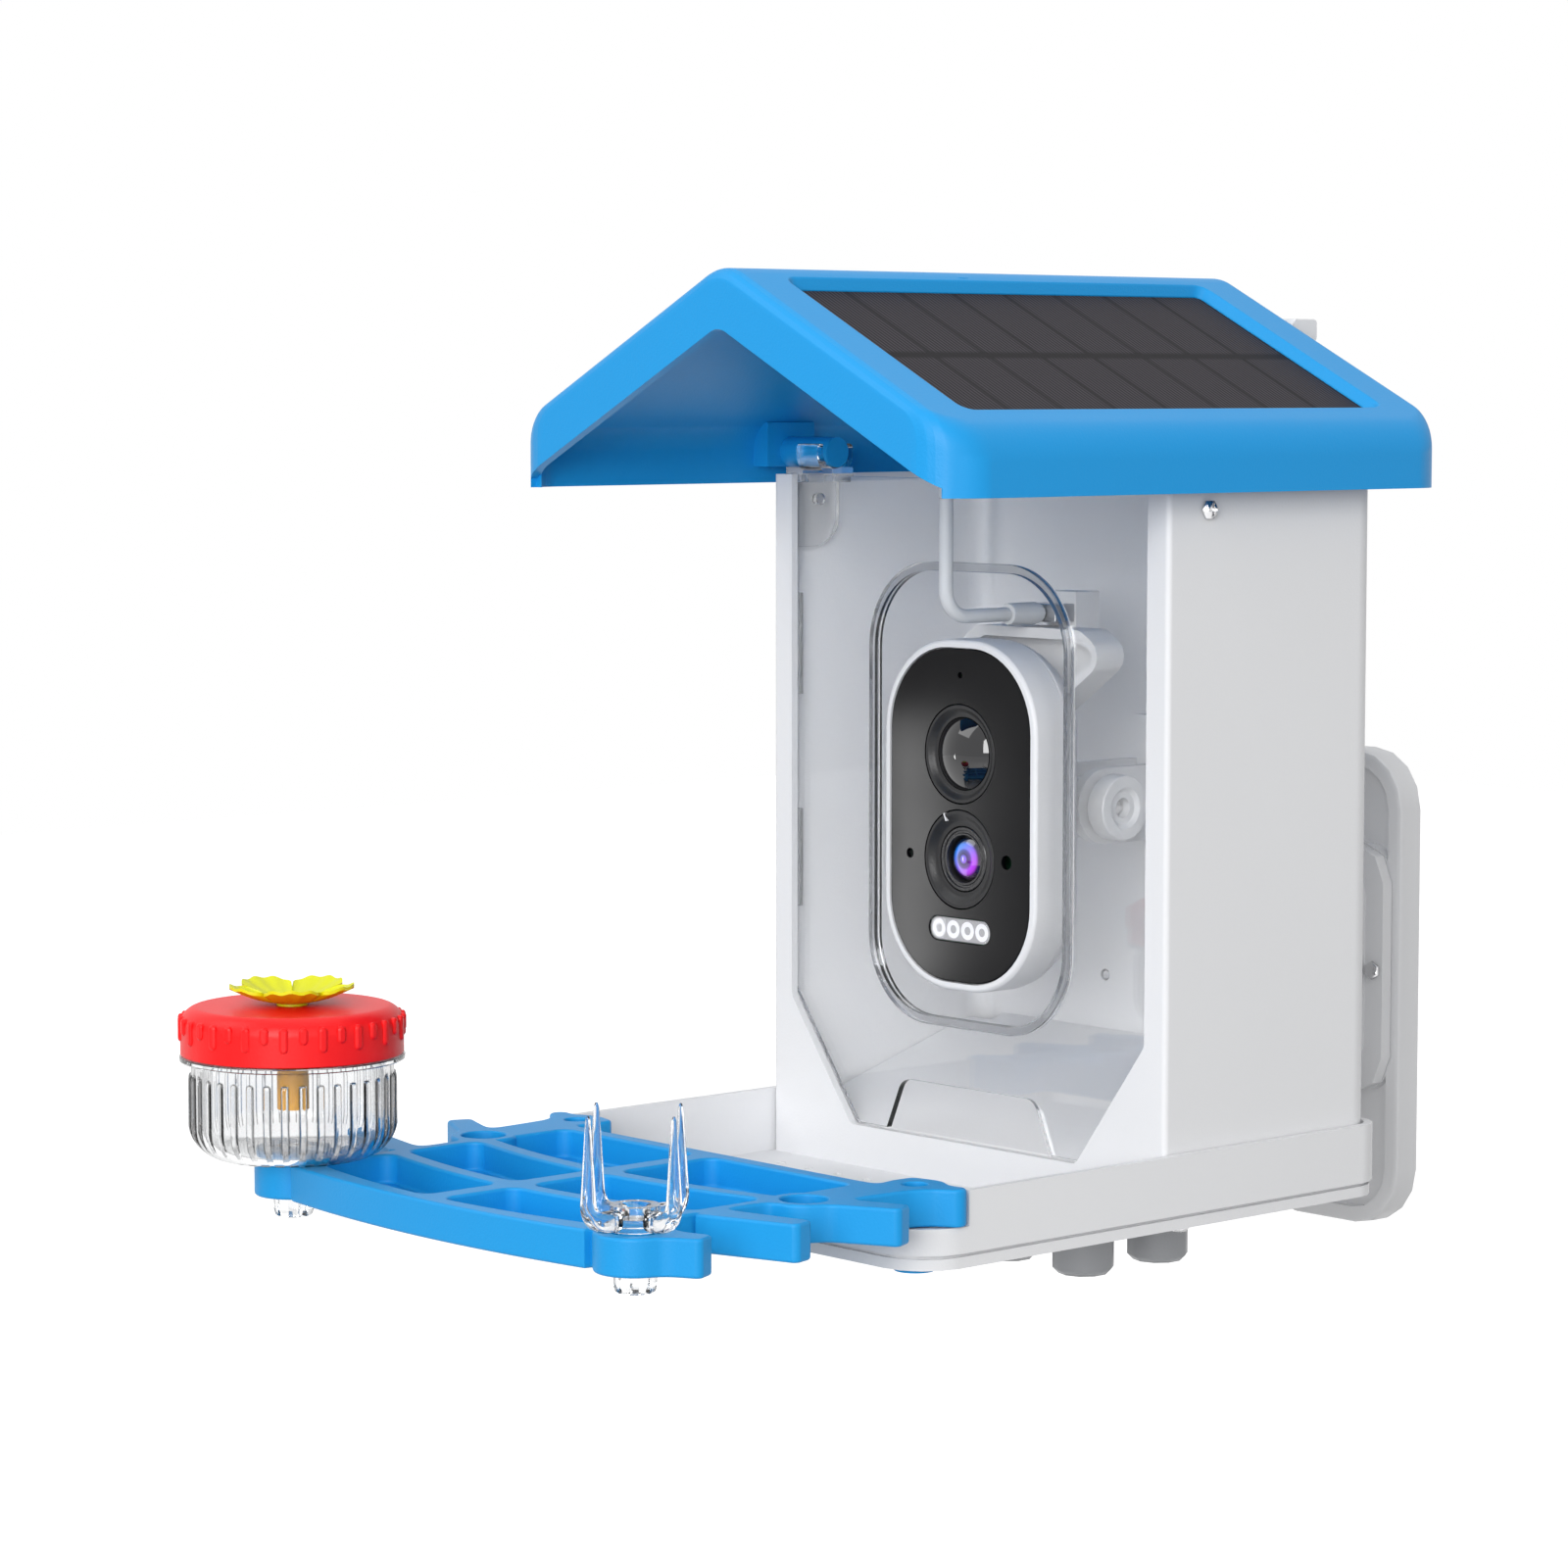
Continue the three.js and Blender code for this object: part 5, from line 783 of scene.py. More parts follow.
def build_solar():
    """The dark panel in its pocket."""
    panel = on_slope(prism(panel_outline(0), -SOLAR["recess"] - SOLAR["thick"], -SOLAR["recess"]))
    seat(panel, "solar_cells", "roof", CELLS, ("solar_panel",), 0.2)


# House and window
def house_outline(inset):
    """The walls' outline from above, drawn in by the inset."""
    side = HOUSE["half"] - inset
    rear, front = HOUSE["rear_r"] - inset, max(HOUSE["front_r"] - inset, 0)
    return fillet([(-side, inset, front), (side, inset, front), (side, HOUSE["depth"] - inset, rear),
                   (-side, HOUSE["depth"] - inset, rear)], 6)


def side_screw_hole():
    """The hole through both side walls for the window's screws."""
    reach = HOUSE["half"] + OVER
    return rod(SCREW["r"], -reach, reach, "x", (0, SCREW["y"], SCREW["z"]), 24)


def build_house():
    """Four walls, open above and at the front."""
    h, wall, depth, r = HOUSE["height"], HOUSE["wall"], HOUSE["depth"], HOUSE["open_r"]
    sill_half, sill, half, shoulder = (HOUSE[key] for key in ("sill_half", "sill", "open_half", "shoulder"))
    shell = prism(house_outline(0), 0, h)
    opening = fillet([(-sill_half, sill, r), (sill_half, sill, r), (half, shoulder, r),
                      (half, h + OVER, 0), (-half, h + OVER, 0), (-half, shoulder, r)])
    opening = prism(opening, -OVER, wall + OVER, "y")
    cut(shell, prism(house_outline(wall), -OVER, h + OVER), opening, side_screw_hole())
    for x in (-SCREW["arm_x"], SCREW["arm_x"]):
        cut(shell, rod(SCREW["r"], -depth - OVER, wall + OVER - depth, "y", (x, 0, SCREW["arm_z"]), 20))
    seat(shell, "house", "house", WHITE, ("house_shell",), 0.5, 3)


def collar_outline(inset):
    """The outline of the window's round-cornered camera collar."""
    return plain_box(inset - COLLAR["half"], COLLAR["half"] - inset, COLLAR["low"] + inset,
                     COLLAR["high"] - inset, COLLAR["r"] - inset, 5)


def window_saddle(top):
    """The right saddle, open above, that carries a hinge pin."""
    reach = HINGE["pin_r"] + HINGE["play"]
    outer = reach + HINGE["wall"]
    right = PANE["half"] - HINGE["inset"]
    left = right - HINGE["width"]
    arm_top = HINGE["z"] + HINGE["arm"]
    y0, y1 = HINGE["y"] - outer, HINGE["y"] + outer
    saddle = prism(fillet([(y0, HINGE["z"] - outer, outer - GAP), (y1, HINGE["z"] - outer, outer - GAP),
                           (y1, arm_top, HINGE["arm_r"]), (y0, arm_top, HINGE["arm_r"])]), left, right, "x")
    add(saddle, block(left, PANE["half"], PANE["front"], y1, top - OVER, HINGE["z"] - HINGE["pin_r"]))
    return cut(saddle, prism(disc(HINGE["y"], HINGE["z"], reach), 0, HOUSE["half"], "x"),
               block(0, HOUSE["half"], HINGE["y"] - reach, HINGE["y"] + reach, HINGE["z"], arm_top + OVER))


def build_pane():
    """The clear window with its seed outlet, screw ears, side tabs and saddles, and its collar's lip."""
    foot, top = HOUSE["sill"] + GAP, HOUSE["height"] - GAP
    run = (HOUSE["open_half"] - HOUSE["sill_half"]) / (HOUSE["shoulder"] - HOUSE["sill"])
    front, back, half, r = PANE["front"], PANE["back"], PANE["half"], HOUSE["open_r"]
    shoulder = foot + (half - HOUSE["sill_half"]) / run
    sheet = prism(fillet([
        (-PANE["out_low"], foot, 0), (-PANE["out_top"], foot + PANE["out_high"], PANE["out_r"]),
        (PANE["out_top"], foot + PANE["out_high"], PANE["out_r"]), (PANE["out_low"], foot, 0),
        (HOUSE["sill_half"], foot, r), (half, shoulder, r), (half, top, 0), (-half, top, 0),
        (-half, shoulder, r), (-HOUSE["sill_half"], foot, r)]), front, back, "y")
    rear = back + COLLAR["behind"]
    cut(sheet, prism(collar_outline(0), -OVER, rear + OVER, "y"))
    ring = prism(collar_outline(COLLAR["play"]), front - COLLAR["proud"], rear, "y")
    cut(ring, prism(collar_outline(COLLAR["wall"]), -OVER, rear + OVER, "y"))
    seat(ring, "window_collar", "house", COLLAR_CLEAR, (), COLLAR["soft"], 4)
    ear_low, ear_rear = PANE["ear_low"], PANE["ear_rear"]
    ear = fillet([(front, ear_low, PANE["ear_front_r"]), (ear_rear, ear_low, PANE["ear_r"]),
                  (ear_rear, top, 0), (front, top, 0)])
    ear = prism(ear, half - PANE["ear"], half, "x")
    add(ear, window_saddle(top))
    for low, high in PANE_TABS:
        add(ear, block(half - PANE["tab"], half, front + HAIR, back + PANE["tab"], low, high))
    add(sheet, mirrored(ear), ear)
    cut(sheet, side_screw_hole())
    seat(sheet, "window", "house", PANE_CLEAR, ("clear_window",), 0.35)


# Camera
def cam_ring(inset, y):
    """The camera's rounded outline at a depth, drawn in by the inset."""
    return soft_ring(CAM["half"] - inset, CAM["tall"] - inset, CAM["r"] - inset,
                     lambda x, z: (x, y, CAM["mid"] + z))


def cam_loft(*steps):
    """A solid through the camera's outline at (inset, depth) steps."""
    return loft([cam_ring(inset, y) for inset, y in steps])


def on_face(profile, count, z, x=0.0):
    """A turned piece on the camera's face, from (radius, height) pairs."""
    return lathe(profile, count, "y", (x, 0, CAM["mid"] + z))


def light_bar(r, y0, y1, count=20):
    """The light window's long round shape."""
    z = CAM["mid"] + LIGHT["z"]
    return prism(capsule((-LIGHT["half"], z), (LIGHT["half"], z), r, r, count), y0, y1, "y")


def dome_profile(size, base, steps):
    """A shallow dome on a short skirt."""
    r, rise, skirt = size["r"], size["rise"], size["skirt"]
    ball = (r ** 2 + rise ** 2) / (2 * rise)
    reach = math.asin(r / ball)
    profile = [(0, base - skirt), (r, base - skirt), (r, base)]
    for i in range(1, steps + 1):
        a = reach * (1 - i / steps)
        profile.append((ball * math.sin(a), base + rise - ball * (1 - math.cos(a))))
    return profile


def build_camera_band():
    """The front band with its rounded rim and the seat for the face."""
    front, r, seat_rear = CAM["front"], CAM["round"], CAM["front"] + CAM["seat"]
    rim = [(r * (1 - math.sin(a)), front + r * (1 - math.cos(a))) for a in quarter(5)]
    band = cam_loft(*rim, (0, BAND_REAR))
    cut(band, cam_loft((CAM["face_in"], front - OVER), (CAM["face_in"], front + CAM["face"])),
        cam_loft((CAM["seat_in"], front), (CAM["seat_in"], seat_rear)),
        cam_loft((CAM["wall"], seat_rear), (CAM["wall"], BAND_REAR + OVER)))
    seat(band, "camera_band", "camera", WHITE, ("camera_shell",), 0.25, 2, 40)


def build_camera_face():
    """The glossy plate with its round holes and the slot for the lights."""
    face = cam_loft(*((inset, FACE_FRONT + depth) for inset, depth in FACE_RIM), (FACE_RIM[-1][0], FACE_REAR))
    cut(face, *(rod(r, -FACE_REAR - OVER, OVER - FACE_FRONT, "y", (x, 0, CAM["mid"] + z), count)
                for r, x, z, count in FACE_HOLES),
        light_bar(LIGHT["hole_r"], FACE_FRONT - OVER, FACE_REAR + OVER, 14))
    seat(face, "camera_face_plate", "camera", FACE, ("camera_face",), 0.12, 2, 40)


def build_camera_eyes():
    """The dished collars, the motion sensor's dome, and the lens in its stepped tube."""
    r, top = DISH["r"], -FACE_FRONT
    for name, node, inner, z in (("sensor_collar", "pir_ring", DISH["sensor_bore"], SENSOR_Z),
                                 ("lens_collar", "lens_ring", DISH["lens_bore"], LENS_Z)):
        profile = [(inner, top - DISH["thick"]), (r - DISH["groove"], top - DISH["thick"]),
                   (r, top - DISH["groove_deep"]), (r, top - DISH["edge"]), (r - DISH["edge_in"], top),
                   (r - DISH["rim"], top)]
        for i in range(9):
            t = i / 8
            profile.append((r - DISH["rim"] - (r - DISH["rim"] - inner - DISH["lip"]) * t,
                            top - DISH["deep"] * math.sin(math.pi / 2 * t) ** DISH["power"]))
        profile += [(inner, top - DISH["foot"]), (inner, top - DISH["thick"])]
        seat(on_face(profile, 72, z), name, "camera", RINGS, (node,), 0.0, 2, 35)
    base = top - EYE_DEEP
    seat(on_face(dome_profile(SENSOR, base, 14), 64, SENSOR_Z), "sensor_dome", "camera", DOME,
         ("pir_lens",), 0.0, 2, 40)
    seat(on_face([(r, base + z) for r, z in TUBE_PROFILE], 64, LENS_Z), "lens_tube", "camera", BARREL,
         ("lens_barrel",), 0.0, 2, 30)
    seat(on_face(dome_profile(GLASS, base - EYE_DEEP, 10), 48, LENS_Z), "lens_glass", "camera", LENS,
         ("camera_lens",), 0.0, 2, 40)


def build_camera_lights():
    """A clear strip over four small reflectors, and the small mark beside the lens."""
    strip = light_bar(LIGHT["strip_r"], FACE_FRONT, FACE_FRONT + LIGHT["strip"])
    seat(strip, "light_strip", "camera", LIGHT_CLEAR, ("led_window",), 0.1, 2, 40)
    tray = light_bar(LIGHT["tray_r"], FACE_FRONT + LIGHT["tray_front"], FACE_FRONT + LIGHT["tray_rear"])
    seat(tray, "light_tray", "camera", REFLECTOR, (), 0.0)
    for i in range(LIGHT["cups"]):
        x = LIGHT["cup_x"] + LIGHT["pitch"] * i
        cup = on_face([(r, z - FACE_FRONT) for r, z in CUP_PROFILE], 28, LIGHT["z"], x)
        seat(cup, f"light_cup_{i + 1}", "camera", WHITE, (), 0.0)
    ends = [(x, CAM["mid"] + z) for x, z in (MARK["low"], MARK["high"])]
    mark = prism(capsule(*ends, MARK["r"], MARK["r"], 8), FACE_FRONT - MARK["proud"],
                 FACE_FRONT + MARK["deep"], "y")
    seat(mark, "lens_mark", "camera", WHITE, (), 0.0)


def build_camera_cover():
    """The cover, which narrows to the rear."""
    start, steps = BAND_REAR + GAP, []
    for i in range(11):
        y = start + (CAM["rear"] - start) * i / 10
        share = (y - BAND_REAR) / (CAM["rear"] - BAND_REAR)
        steps.append((CAM["inset"] * share ** CAM["bulge"], y))
    seat(cam_loft(*steps), "camera_cover", "camera", WHITE, ("camera_back",), 0.8, 3, 40)


# Perch
def sag(middle, x):
    """How a pocket's front and rear edges bow towards the middle."""
    return middle + PERCH["sag"] * (x / PERCH["half"]) ** 2


def pocket_outline(rear, front, straight):
    """One pocket of the right half; the rear edge of the first row is straight."""
    left, right, r, steps = POCKET["left"], POCKET["right"], POCKET["r"], 10
    points = []
    for i in range(steps + 1):
        x = left + (right - left) * i / steps
        points.append((x, sag(front, x), r if i % steps == 0 else 0))
    for i in range(steps, -1, -1):
        x = left + (right - left) * i / steps
        if straight and i % steps:
            continue
        points.append((x, rear if straight else sag(rear, x), r if i % steps == 0 else 0))
    return fillet(points)


def outline_of(obj):
    """The outline of a flat solid's top, in order."""
    level = 0.9
    bm = bmesh.new()
    bm.from_mesh(obj.data)
    bmesh.ops.remove_doubles(bm, verts=bm.verts, dist=WELD)
    after = {}
    for face in bm.faces:
        if face.normal.z < level:
            continue
        for loop in face.loops:
            if loop.link_loop_radial_next.face.normal.z < level:
                after[loop.vert.index] = loop.link_loop_next.vert.index
    bm.verts.ensure_lookup_table()
    first = next(iter(after))
    points, here = [], first
    while not points or (here != first and len(points) <= len(after)):
        points.append(bm.verts[here].co.to_2d())
        here = after[here]
    bm.free()
    return points


def resampled(points, pitch):
    """An outline with a point about every pitch."""
    result = []
    for a, b in zip(points, points[1:] + points[:1]):
        steps = max(1, round((b - a).length / pitch))
        result += [a.lerp(b, k / steps) for k in range(steps)]
    return result


def filled_in(points, rounds):
    """Rounds the inward corners of an outline and leaves the outward ones."""
    n = len(points)
    for _ in range(rounds):
        fresh = points[:]
        for i in range(n):
            a, b, c = points[i - 1], points[i], points[(i + 1) % n]
            if (b - a).cross(c - b) < 0:
                fresh[i] = b.lerp((a + c) / 2, 0.5)
        points = fresh
    return points


def thinned(points, turn=5.0, far=5.0):
    """Leaves out the points that an outline can spare."""
    kept, way = [points[0]], None
    for i in range(1, len(points) - 1):
        b, c = points[i], points[i + 1]
        if way is None:
            way = b - kept[-1]
        bend = math.degrees(abs(math.atan2(way.cross(c - b), way.dot(c - b))))
        if bend > turn or (b - kept[-1]).length > far:
            kept.append(b)
            way = c - b
    return kept


def ring_at(outline, growth, z):
    """An outline moved outward, at a height."""
    points = [Vector(p) for p in outline]
    result, n = [], len(points)
    for i in range(n):
        u = (points[i] - points[i - 1]).normalized()
        v = (points[(i + 1) % n] - points[i]).normalized()
        out = Vector((u.y + v.y, -u.x - v.x)).normalized()
        x, y = points[i] + out * (growth / max(0.6, out.dot(Vector((u.y, -u.x)))))
        result.append((x, y, z))
    return result


def soft_slab(outline, low, high, r):
    """A slab whose upper and lower rims are rounded."""
    turns = quarter(4)
    return loft([ring_at(outline, -r * (1 - math.sin(a)), low + r * (1 - math.cos(a))) for a in turns] +
                [ring_at(outline, -r * (1 - math.cos(a)), high - r * (1 - math.sin(a))) for a in turns])


def soft_pocket(outline, low, high, r):
    """What a pocket with a rounded rim and a rounded floor takes away."""
    turns = quarter(4)
    return loft([ring_at(outline, -r * (1 - math.sin(a)), low + r * (1 - math.cos(a))) for a in turns] +
                [ring_at(outline, r * (1 - math.cos(a)), high - r * (1 - math.sin(a))) for a in turns] +
                [ring_at(outline, r, high + OVER)])


def finger(root, tip):
    """A tapered bar with a square, round-cornered end."""
    start, end = Vector(root), Vector((tip[0] + FINGER["reach"], tip[1]))
    along = (end - start).normalized()
    side = Vector((-along.y, along.x))
    half, tip_half, r = FINGER["root_half"], FINGER["tip_half"], FINGER["corner"]
    return fillet([(*(start - side * half), 0), (*(end - side * tip_half), r),
                   (*(end + side * tip_half), r), (*(start + side * half), 0)])


def perch_outline():
    """The outline of the slab with its fingers and hooks, its inward corners rounded."""
    def raised(outline):
        return prism(outline, PERCH["low"], PERCH["top"])

    half, wide = PERCH["half"], PERCH["bow_half"]
    bow = [(half, PERCH["rear"], PERCH["rear_r"]), (-half, PERCH["rear"], PERCH["rear_r"])]
    for i in range(31):
        x = 2 * wide * i / 30 - wide
        bow.append((x, PERCH["bow_front"] + PERCH["bow"] * (x / wide) ** 2, 0))
    slab = raised(fillet(bow))
    right = raised(disc(*BOSS["at"], BOSS["r"], 48))
    add(right, *(raised(finger(root, tip)) for root, tip in FINGERS),
        raised(disc(*SOCKET["at"], SOCKET["r"], 48)), raised(disc(*HOOK["at"], HOOK["r"], 48)),
        *(raised(capsule(HOOK["root"], tip, HOOK["root_r"], HOOK["tip_r"])) for tip in HOOK["tips"]),
        raised(capsule(BOSS["at"], HOOK["at"], *HOOK["web_r"])))
    add(slab, mirrored(right), right)
    outline = thinned(filled_in(resampled(outline_of(slab), 0.5), 60))
    bpy.data.objects.remove(slab)
    return outline


def build_perch():
    """The slab with its rows of pockets, raised bosses, bores and pegs."""
    low, top, rim, floor = PERCH["low"], PERCH["top"], PERCH["rim"], PERCH["low"] + PERCH["floor"]
    slab = soft_slab(perch_outline(), low, top, rim)
    first, *others = (soft_pocket(pocket_outline(*row), floor, top, rim) for row in POCKET_ROWS)
    pockets = add(first, *others)
    cut(slab, mirrored(pockets), pockets)
    bosses = add(*(soft_slab(disc(*size["at"], size["r"], 48), low, top, rim) for size in (BOSS, SOCKET)))
    add(slab, mirrored(bosses), bosses)
    depths = ((BOSS, 40, floor), (SOCKET, 40, low - OVER), (HOOK, 32, floor))
    bores = add(*(soft_pocket(disc(*size["at"], size["bore"], count), bottom, top, PERCH["bore_rim"])
                  for size, count, bottom in depths))
    cut(slab, mirrored(bores), bores)
    peg = rod(PERCH["peg_r"], PERCH["peg_low"], low + OVER, at=(*HOOK["at"], 0), count=40)
    add(slab, mirrored(peg), peg)
    seat(slab, "perch", "perch", BLUE, ("perch_tray",), None, angle=35)


# Jar, lid, flower and claw
def fluted_ring(height, radius, z):
    """A ring round Z with half-round flutes of a height."""
    points = []
    pitch = 2 * math.pi / JAR["flutes"]
    for k in range(JAR["flutes"]):
        for t in FLUTE_ACROSS:
            a = k * pitch + t * JAR["flute_half"] / radius
            r = radius + height * math.sqrt(max(0.0, 1 - t * t)) ** JAR["flute_power"]
            points.append((r * math.cos(a), r * math.sin(a), z))
        a = (k + 0.5) * pitch
        points.append((radius * math.cos(a), radius * math.sin(a), z))
    return points


def snap_pin(length):
    """A split pin below a piece, with a nose that snaps through its socket."""
    r = PIN["r"]
    neck = r * PIN["neck_share"]
    pin = lathe([(0, -length), (r * PIN["tip_share"], -length),
                 (r * PIN["nose_share"], PIN["nose"] - length), (r, r * PIN["nose_high_share"] - length),
                 (r, -PIN["step"]), (neck, -PIN["neck"]), (neck, GAP), (0, GAP)], 40)
    slot = block(-r - OVER, r + OVER, -PIN["slot_half"], PIN["slot_half"], -length - OVER, -PIN["slot_top"])
    return cut(pin, turned(copy_of(slot), 90), slot,
               rod(r * PIN["bore_share"], -length - OVER, -PIN["slot_top"], count=24))


def build_jar():
    """The fluted cup with its collar, neck and snap pin."""
    r, foot_r, tall, top = JAR["r"], JAR["foot_r"], JAR["flute_tall"], JAR["flute_top"]
    rings = []
    for i, a in enumerate(quarter(8)):
        rings.append(fluted_ring(tall * max(0.0, (i - 4) / 4), r - foot_r + foot_r * math.sin(a),
                                 foot_r * (1 - math.cos(a))))
    rings += [fluted_ring(tall * share, r, top - below) for below, share in FLUTE_END]
    rings.append(fluted_ring(0.0, r, JAR["shoulder"]))
    cup = add(loft(rings), lathe(JAR_NECK, 96))
    inner, inner_r, floor = JAR["inner"], JAR["inner_r"], JAR["floor"]
    inside = [(0, floor)]
    for a in quarter(8):
        inside.append((inner - inner_r + inner_r * math.sin(a), floor + inner_r * (1 - math.cos(a))))
    cut(cup, lathe([*inside, *JAR_THROAT], 96))
    add(cup, snap_pin(JAR["pin"]))
    moved(cup, *JAR_AT)
    seat(cup, "jar", "jar", JAR_CLEAR, ("nectar_jar",), 0.0, 2, 40)


def build_lid():
    """The red lid with long and short grips in turn round its side."""
    low, high, edge, r = LID["low"], LID["high"], LID["edge"], LID["r"]
    side = [(0, low), (r - LID["chamfer"], low), (r, low + LID["chamfer"])]
    side += [(r - edge * (1 - math.cos(a)), high - edge + edge * math.sin(a)) for a in quarter(10)]
    cap = lathe([*side, (0, high)], 144)
    half, head = GRIP["half"], high - edge * GRIP["head_share"]
    steps = [(-GRIP["root"], 1.0)] + [(GRIP["proud"] * out, scale) for out, scale in GRIP_STEPS]
    for k in range(GRIP["count"]):
        foot = low + GRIP["feet"][k % 2]
        grip = loft([soft_ring(half * scale, (head - foot) / 2 - half * (1 - scale), half * scale,
                               lambda x, z, out=out: (x, -(r + out), (head + foot) / 2 + z), 5)
                     for out, scale in steps])
        add(cap, turned(grip, 360 * k / GRIP["count"]))
    cut(cap, rod(LID["bore"], 0, LID["ceiling"], count=72), rod(LID["port"], 0, high + OVER, count=32))
    moved(cap, *JAR_AT)
    seat(cap, "lid", "lid", RED, ("jar_lid",), 0.12, 2, 30)


def petal_row(t, around):
    """The points of the flower at a share of the way out from its port, with their heights."""
    row = []
    for i in range(around):
        a = 2 * math.pi * i / around
        part = (FLOWER["petals"] * i / around) % 1.0
        lobe = abs(math.sin(math.pi * part)) ** FLOWER["lobe_power"]
        rim = FLOWER["notch"] + (1 - FLOWER["notch"]) * lobe
        ruffle = math.cos(2 * math.pi * FLOWER["ruffles"] * part) * t ** 2
        out = FLOWER["tube"] + (FLOWER["reach"] * rim - FLOWER["tube"]) * t
        out *= 1 + FLOWER["ruffle_out"] * ruffle
        dish = FLOWER["dish"] * t ** FLOWER["dish_power"]
        dish *= FLOWER["notch_dish"] + (1 - FLOWER["notch_dish"]) * lobe
        rise = FLOWER["foot"] + dish + FLOWER["ruffle_up"] * ruffle
        row.append((out * math.cos(a), out * math.sin(a), rise))
    return row


def build_flower():
    """Five broad petals that dish up from the feeding port and ruffle towards their edges."""
    around, along = 300, 20
    lower = [p for j in range(along + 1) for p in petal_row(j / along, around)]
    upper = [(x, y, z + FLOWER["thick"]) for x, y, z in lower]
    half = len(lower)
    faces = []
    for j in range(along):
        for i in range(around):
            k = (i + 1) % around
            a, b, c, d = j * around + i, j * around + k, (j + 1) * around + k, (j + 1) * around + i
            faces.append((a, d, c, b))
            faces.append((half + a, half + b, half + c, half + d))
    for j in (0, along):
        for i in range(around):
            a, b = j * around + i, j * around + (i + 1) % around
            faces.append((half + a, half + b, b, a) if j == 0 else (a, b, half + b, half + a))
    x, y, z = JAR_AT
    for obj, name, material, nodes, angle in (
            (made(lower + upper, faces), "flower", YELLOW, ("flower_port",), 60),
            (lathe(COLLAR_PROFILE, 40), "flower_collar", YELLOW, (), 40),
            (lathe(STRAW_PROFILE, 40), "feeding_tube", AMBER, (), 40)):
        moved(obj, x, y, z + FLOWER["z"])
        seat(obj, name, "lid", material, nodes, 0.0, 2, angle)


def claw_prong():
    """A prong that leaves the hub flat, bends up and narrows to its tip."""
    reach, bend, low, tall = CLAW["reach"], CLAW["bend"], CLAW["low"], CLAW["tall"]
    root, bent, straight, narrow, tip = PRONG_HALVES

    def between(first, last, share):
        return [a + (b - a) * share for a, b in zip(first, last)]

    stations = [(CLAW["root"], low, 0.0, *root)]
    for a in quarter(8):
        stations.append((reach - bend + bend * math.sin(a), low + bend * (1 - math.cos(a)), a,
                         *between(bent, straight, a / (math.pi / 2))))
    for share in (0.2, 0.4, 0.6, 0.8, 0.95):
        stations.append((reach, low + bend + (tall - low - bend) * share, math.pi / 2,
                         *between(straight, narrow, share)))
    stations.append((reach, tall, math.pi / 2, *tip))
    rings = []
    for r, z, a, thick, wide in stations:
        ring = []
        for k in range(24):
            t = 2 * math.pi * k / 24
            out, side = (math.copysign(abs(v) ** CLAW["square"], v) for v in (math.sin(t), math.cos(t)))
            ring.append((r + thick * out * math.sin(a), wide * side, z - thick * out * math.cos(a)))
        rings.append(ring)
    return loft(rings)


def build_claw():
    """A hollow hub with four prongs that bend up out of it, and a split pin below."""
    hub, prong = rod(CLAW["hub_r"], 0, CLAW["hub"], count=48), claw_prong()
    for i in range(4):
        add(hub, turned(copy_of(prong), 90 * i))
    bpy.data.objects.remove(prong)
    cut(hub, rod(CLAW["bore"], CLAW["floor"], CLAW["hub"] + OVER, count=36))
    add(hub, snap_pin(CLAW["pin"]))
    moved(hub, *CLAW_AT)
    seat(hub, "claw", "claw", CLAW_CLEAR, ("fruit_claw",), 0.3, 2, 34)


# Solar cable: one smooth line in two runs
def cable_run(line):
    """A round cable along a line of points."""
    rings = []
    side = Vector((1, 0, 0))
    for i, p in enumerate(line):
        before, after = Vector(line[max(i - 1, 0)]), Vector(line[min(i + 1, len(line) - 1)])
        up = (after - before).normalized().cross(side)
        rings.append([tuple(Vector(p) + side * x + up * y) for x, y in disc(0, 0, CABLE["r"], 24)])
    return loft(rings)


def build_cable():
    """The upper run comes down from the roof and the lower one bends back into the camera."""
    x, y, low, bend = CABLE["x"], CABLE["y"], CABLE["low"], CABLE["bend"]
    upper_foot, lower_head = CABLE["split"] + CABLE["split_half"], CABLE["split"] - CABLE["split_half"]
    upper = [(x, y, CABLE["top"] - (CABLE["top"] - upper_foot) * i / 24) for i in range(25)]
    lower = [(x, y, lower_head - (lower_head - low - bend) * i / 14) for i in range(14)]
    lower += [(x, y + bend * (1 - math.cos(a)), low + bend * (1 - math.sin(a))) for a in quarter(12)]
    lower += [(x, y + bend + (CABLE["end"] - y - bend) * i / 6, low) for i in range(1, 7)]

    def at(y, z):
        return (x * MM, (y - WALL_Y) * MM, (z - WALL_Z) * MM)

    for name, node, line, body, start, end in (
            ("cable_upper", "solar_cable_drop", upper, "roof",
             at(y, CABLE["upper_start"]), at(y, CABLE["upper_end"])),
            ("cable_lower", "solar_cable_elbow", lower, "camera",
             at(y, CABLE["lower_start"]), at(CABLE["lower_end"], low))):
        run = softened(cable_run(line), 0.0, 2, 50)
        placed(run, name, PALE)
        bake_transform(run)
        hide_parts(node)


build_roof()
build_solar()
build_house()
build_pane()
build_camera_band()
build_camera_face()
build_camera_eyes()
build_camera_lights()
build_camera_cover()
build_perch()
build_jar()
build_lid()
build_flower()
build_claw()
build_cable()

